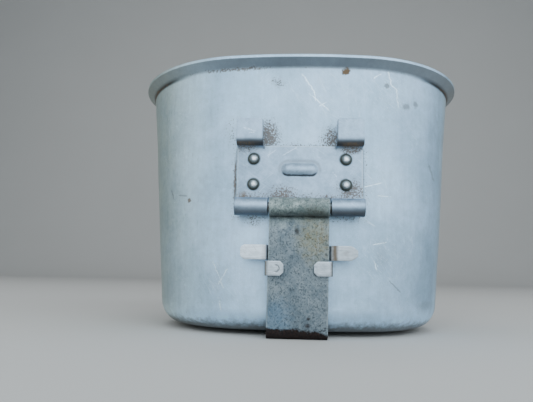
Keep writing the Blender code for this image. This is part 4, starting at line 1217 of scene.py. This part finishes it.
def add_softbox(name, place, aim, size, radiance, colour):
    """A softbox at a place in millimetres, aimed at a point. Its power is radiance * pi * area."""
    data = bpy.data.lights.new(name, "AREA")
    data.shape = "RECTANGLE"
    data.size, data.size_y = size[0] * MM, size[1] * MM
    data.energy = radiance * math.pi * data.size * data.size_y
    data.color = colour
    lamp = bpy.data.objects.new(name, data)
    lamp.location = np.array(place) * MM
    direction = Vector(np.array(aim) * MM) - lamp.location
    lamp.rotation_euler = direction.to_track_quat("-Z", "Y").to_euler()
    bpy.context.scene.collection.objects.link(lamp)


def make_lights():
    """A large softbox in front, one at each side, one overhead, and a dim pale blue room."""
    add_softbox("front", (150, -900, 520), (0, 0, 50), (1500, 1100), 3.1, (0.84, 0.94, 1.0))
    add_softbox("left", (-1050, -330, 450), (0, 0, 50), (1100, 1000), 1.5, (0.93, 0.98, 0.97))
    add_softbox("right", (1050, -330, 450), (0, 0, 50), (1100, 1000), 1.7, (0.86, 0.94, 1.0))
    add_softbox("overhead", (0, 100, 1200), (0, 60, 0), (900, 900), 1.6, (1.0, 0.99, 0.97))
    world = bpy.data.worlds.new("room")
    world.use_nodes = True
    background = world.node_tree.nodes["Background"]
    background.inputs["Color"].default_value = (0.78, 0.86, 0.95, 1.0)
    background.inputs["Strength"].default_value = 0.2
    bpy.context.scene.world = world


def make_camera():
    """A camera low in front of the cup, looking slightly up, with a slight roll."""
    place = np.array([-3.03, -220.11, 23.37])
    pitch, yaw, roll = np.radians([7.894, -2.811, 1.173])
    forward = np.array([math.sin(yaw) * math.cos(pitch), math.cos(yaw) * math.cos(pitch), math.sin(pitch)])
    level = np.array([math.cos(yaw), -math.sin(yaw), 0.0])
    upright = np.cross(level, forward)
    right = level * math.cos(roll) + upright * math.sin(roll)
    up = upright * math.cos(roll) - level * math.sin(roll)
    data = bpy.data.cameras.new("camera")
    data.sensor_width = 36.0
    data.lens = 33.77
    data.clip_start = 0.01
    camera = bpy.data.objects.new("camera", data)
    matrix = np.eye(4)
    matrix[:3, 0], matrix[:3, 1], matrix[:3, 2], matrix[:3, 3] = right, up, -forward, place * MM
    camera.matrix_world = Matrix(matrix.tolist())
    bpy.context.scene.collection.objects.link(camera)
    bpy.context.scene.camera = camera


make_camera()
make_cup_shell(cup_metal())
make_bracket(bracket_metal())
make_rivets(rivet_metal())
make_pin(pin_metal())
make_handle(strap_metal())
make_latch(latch_metal())
make_stage()
make_lights()
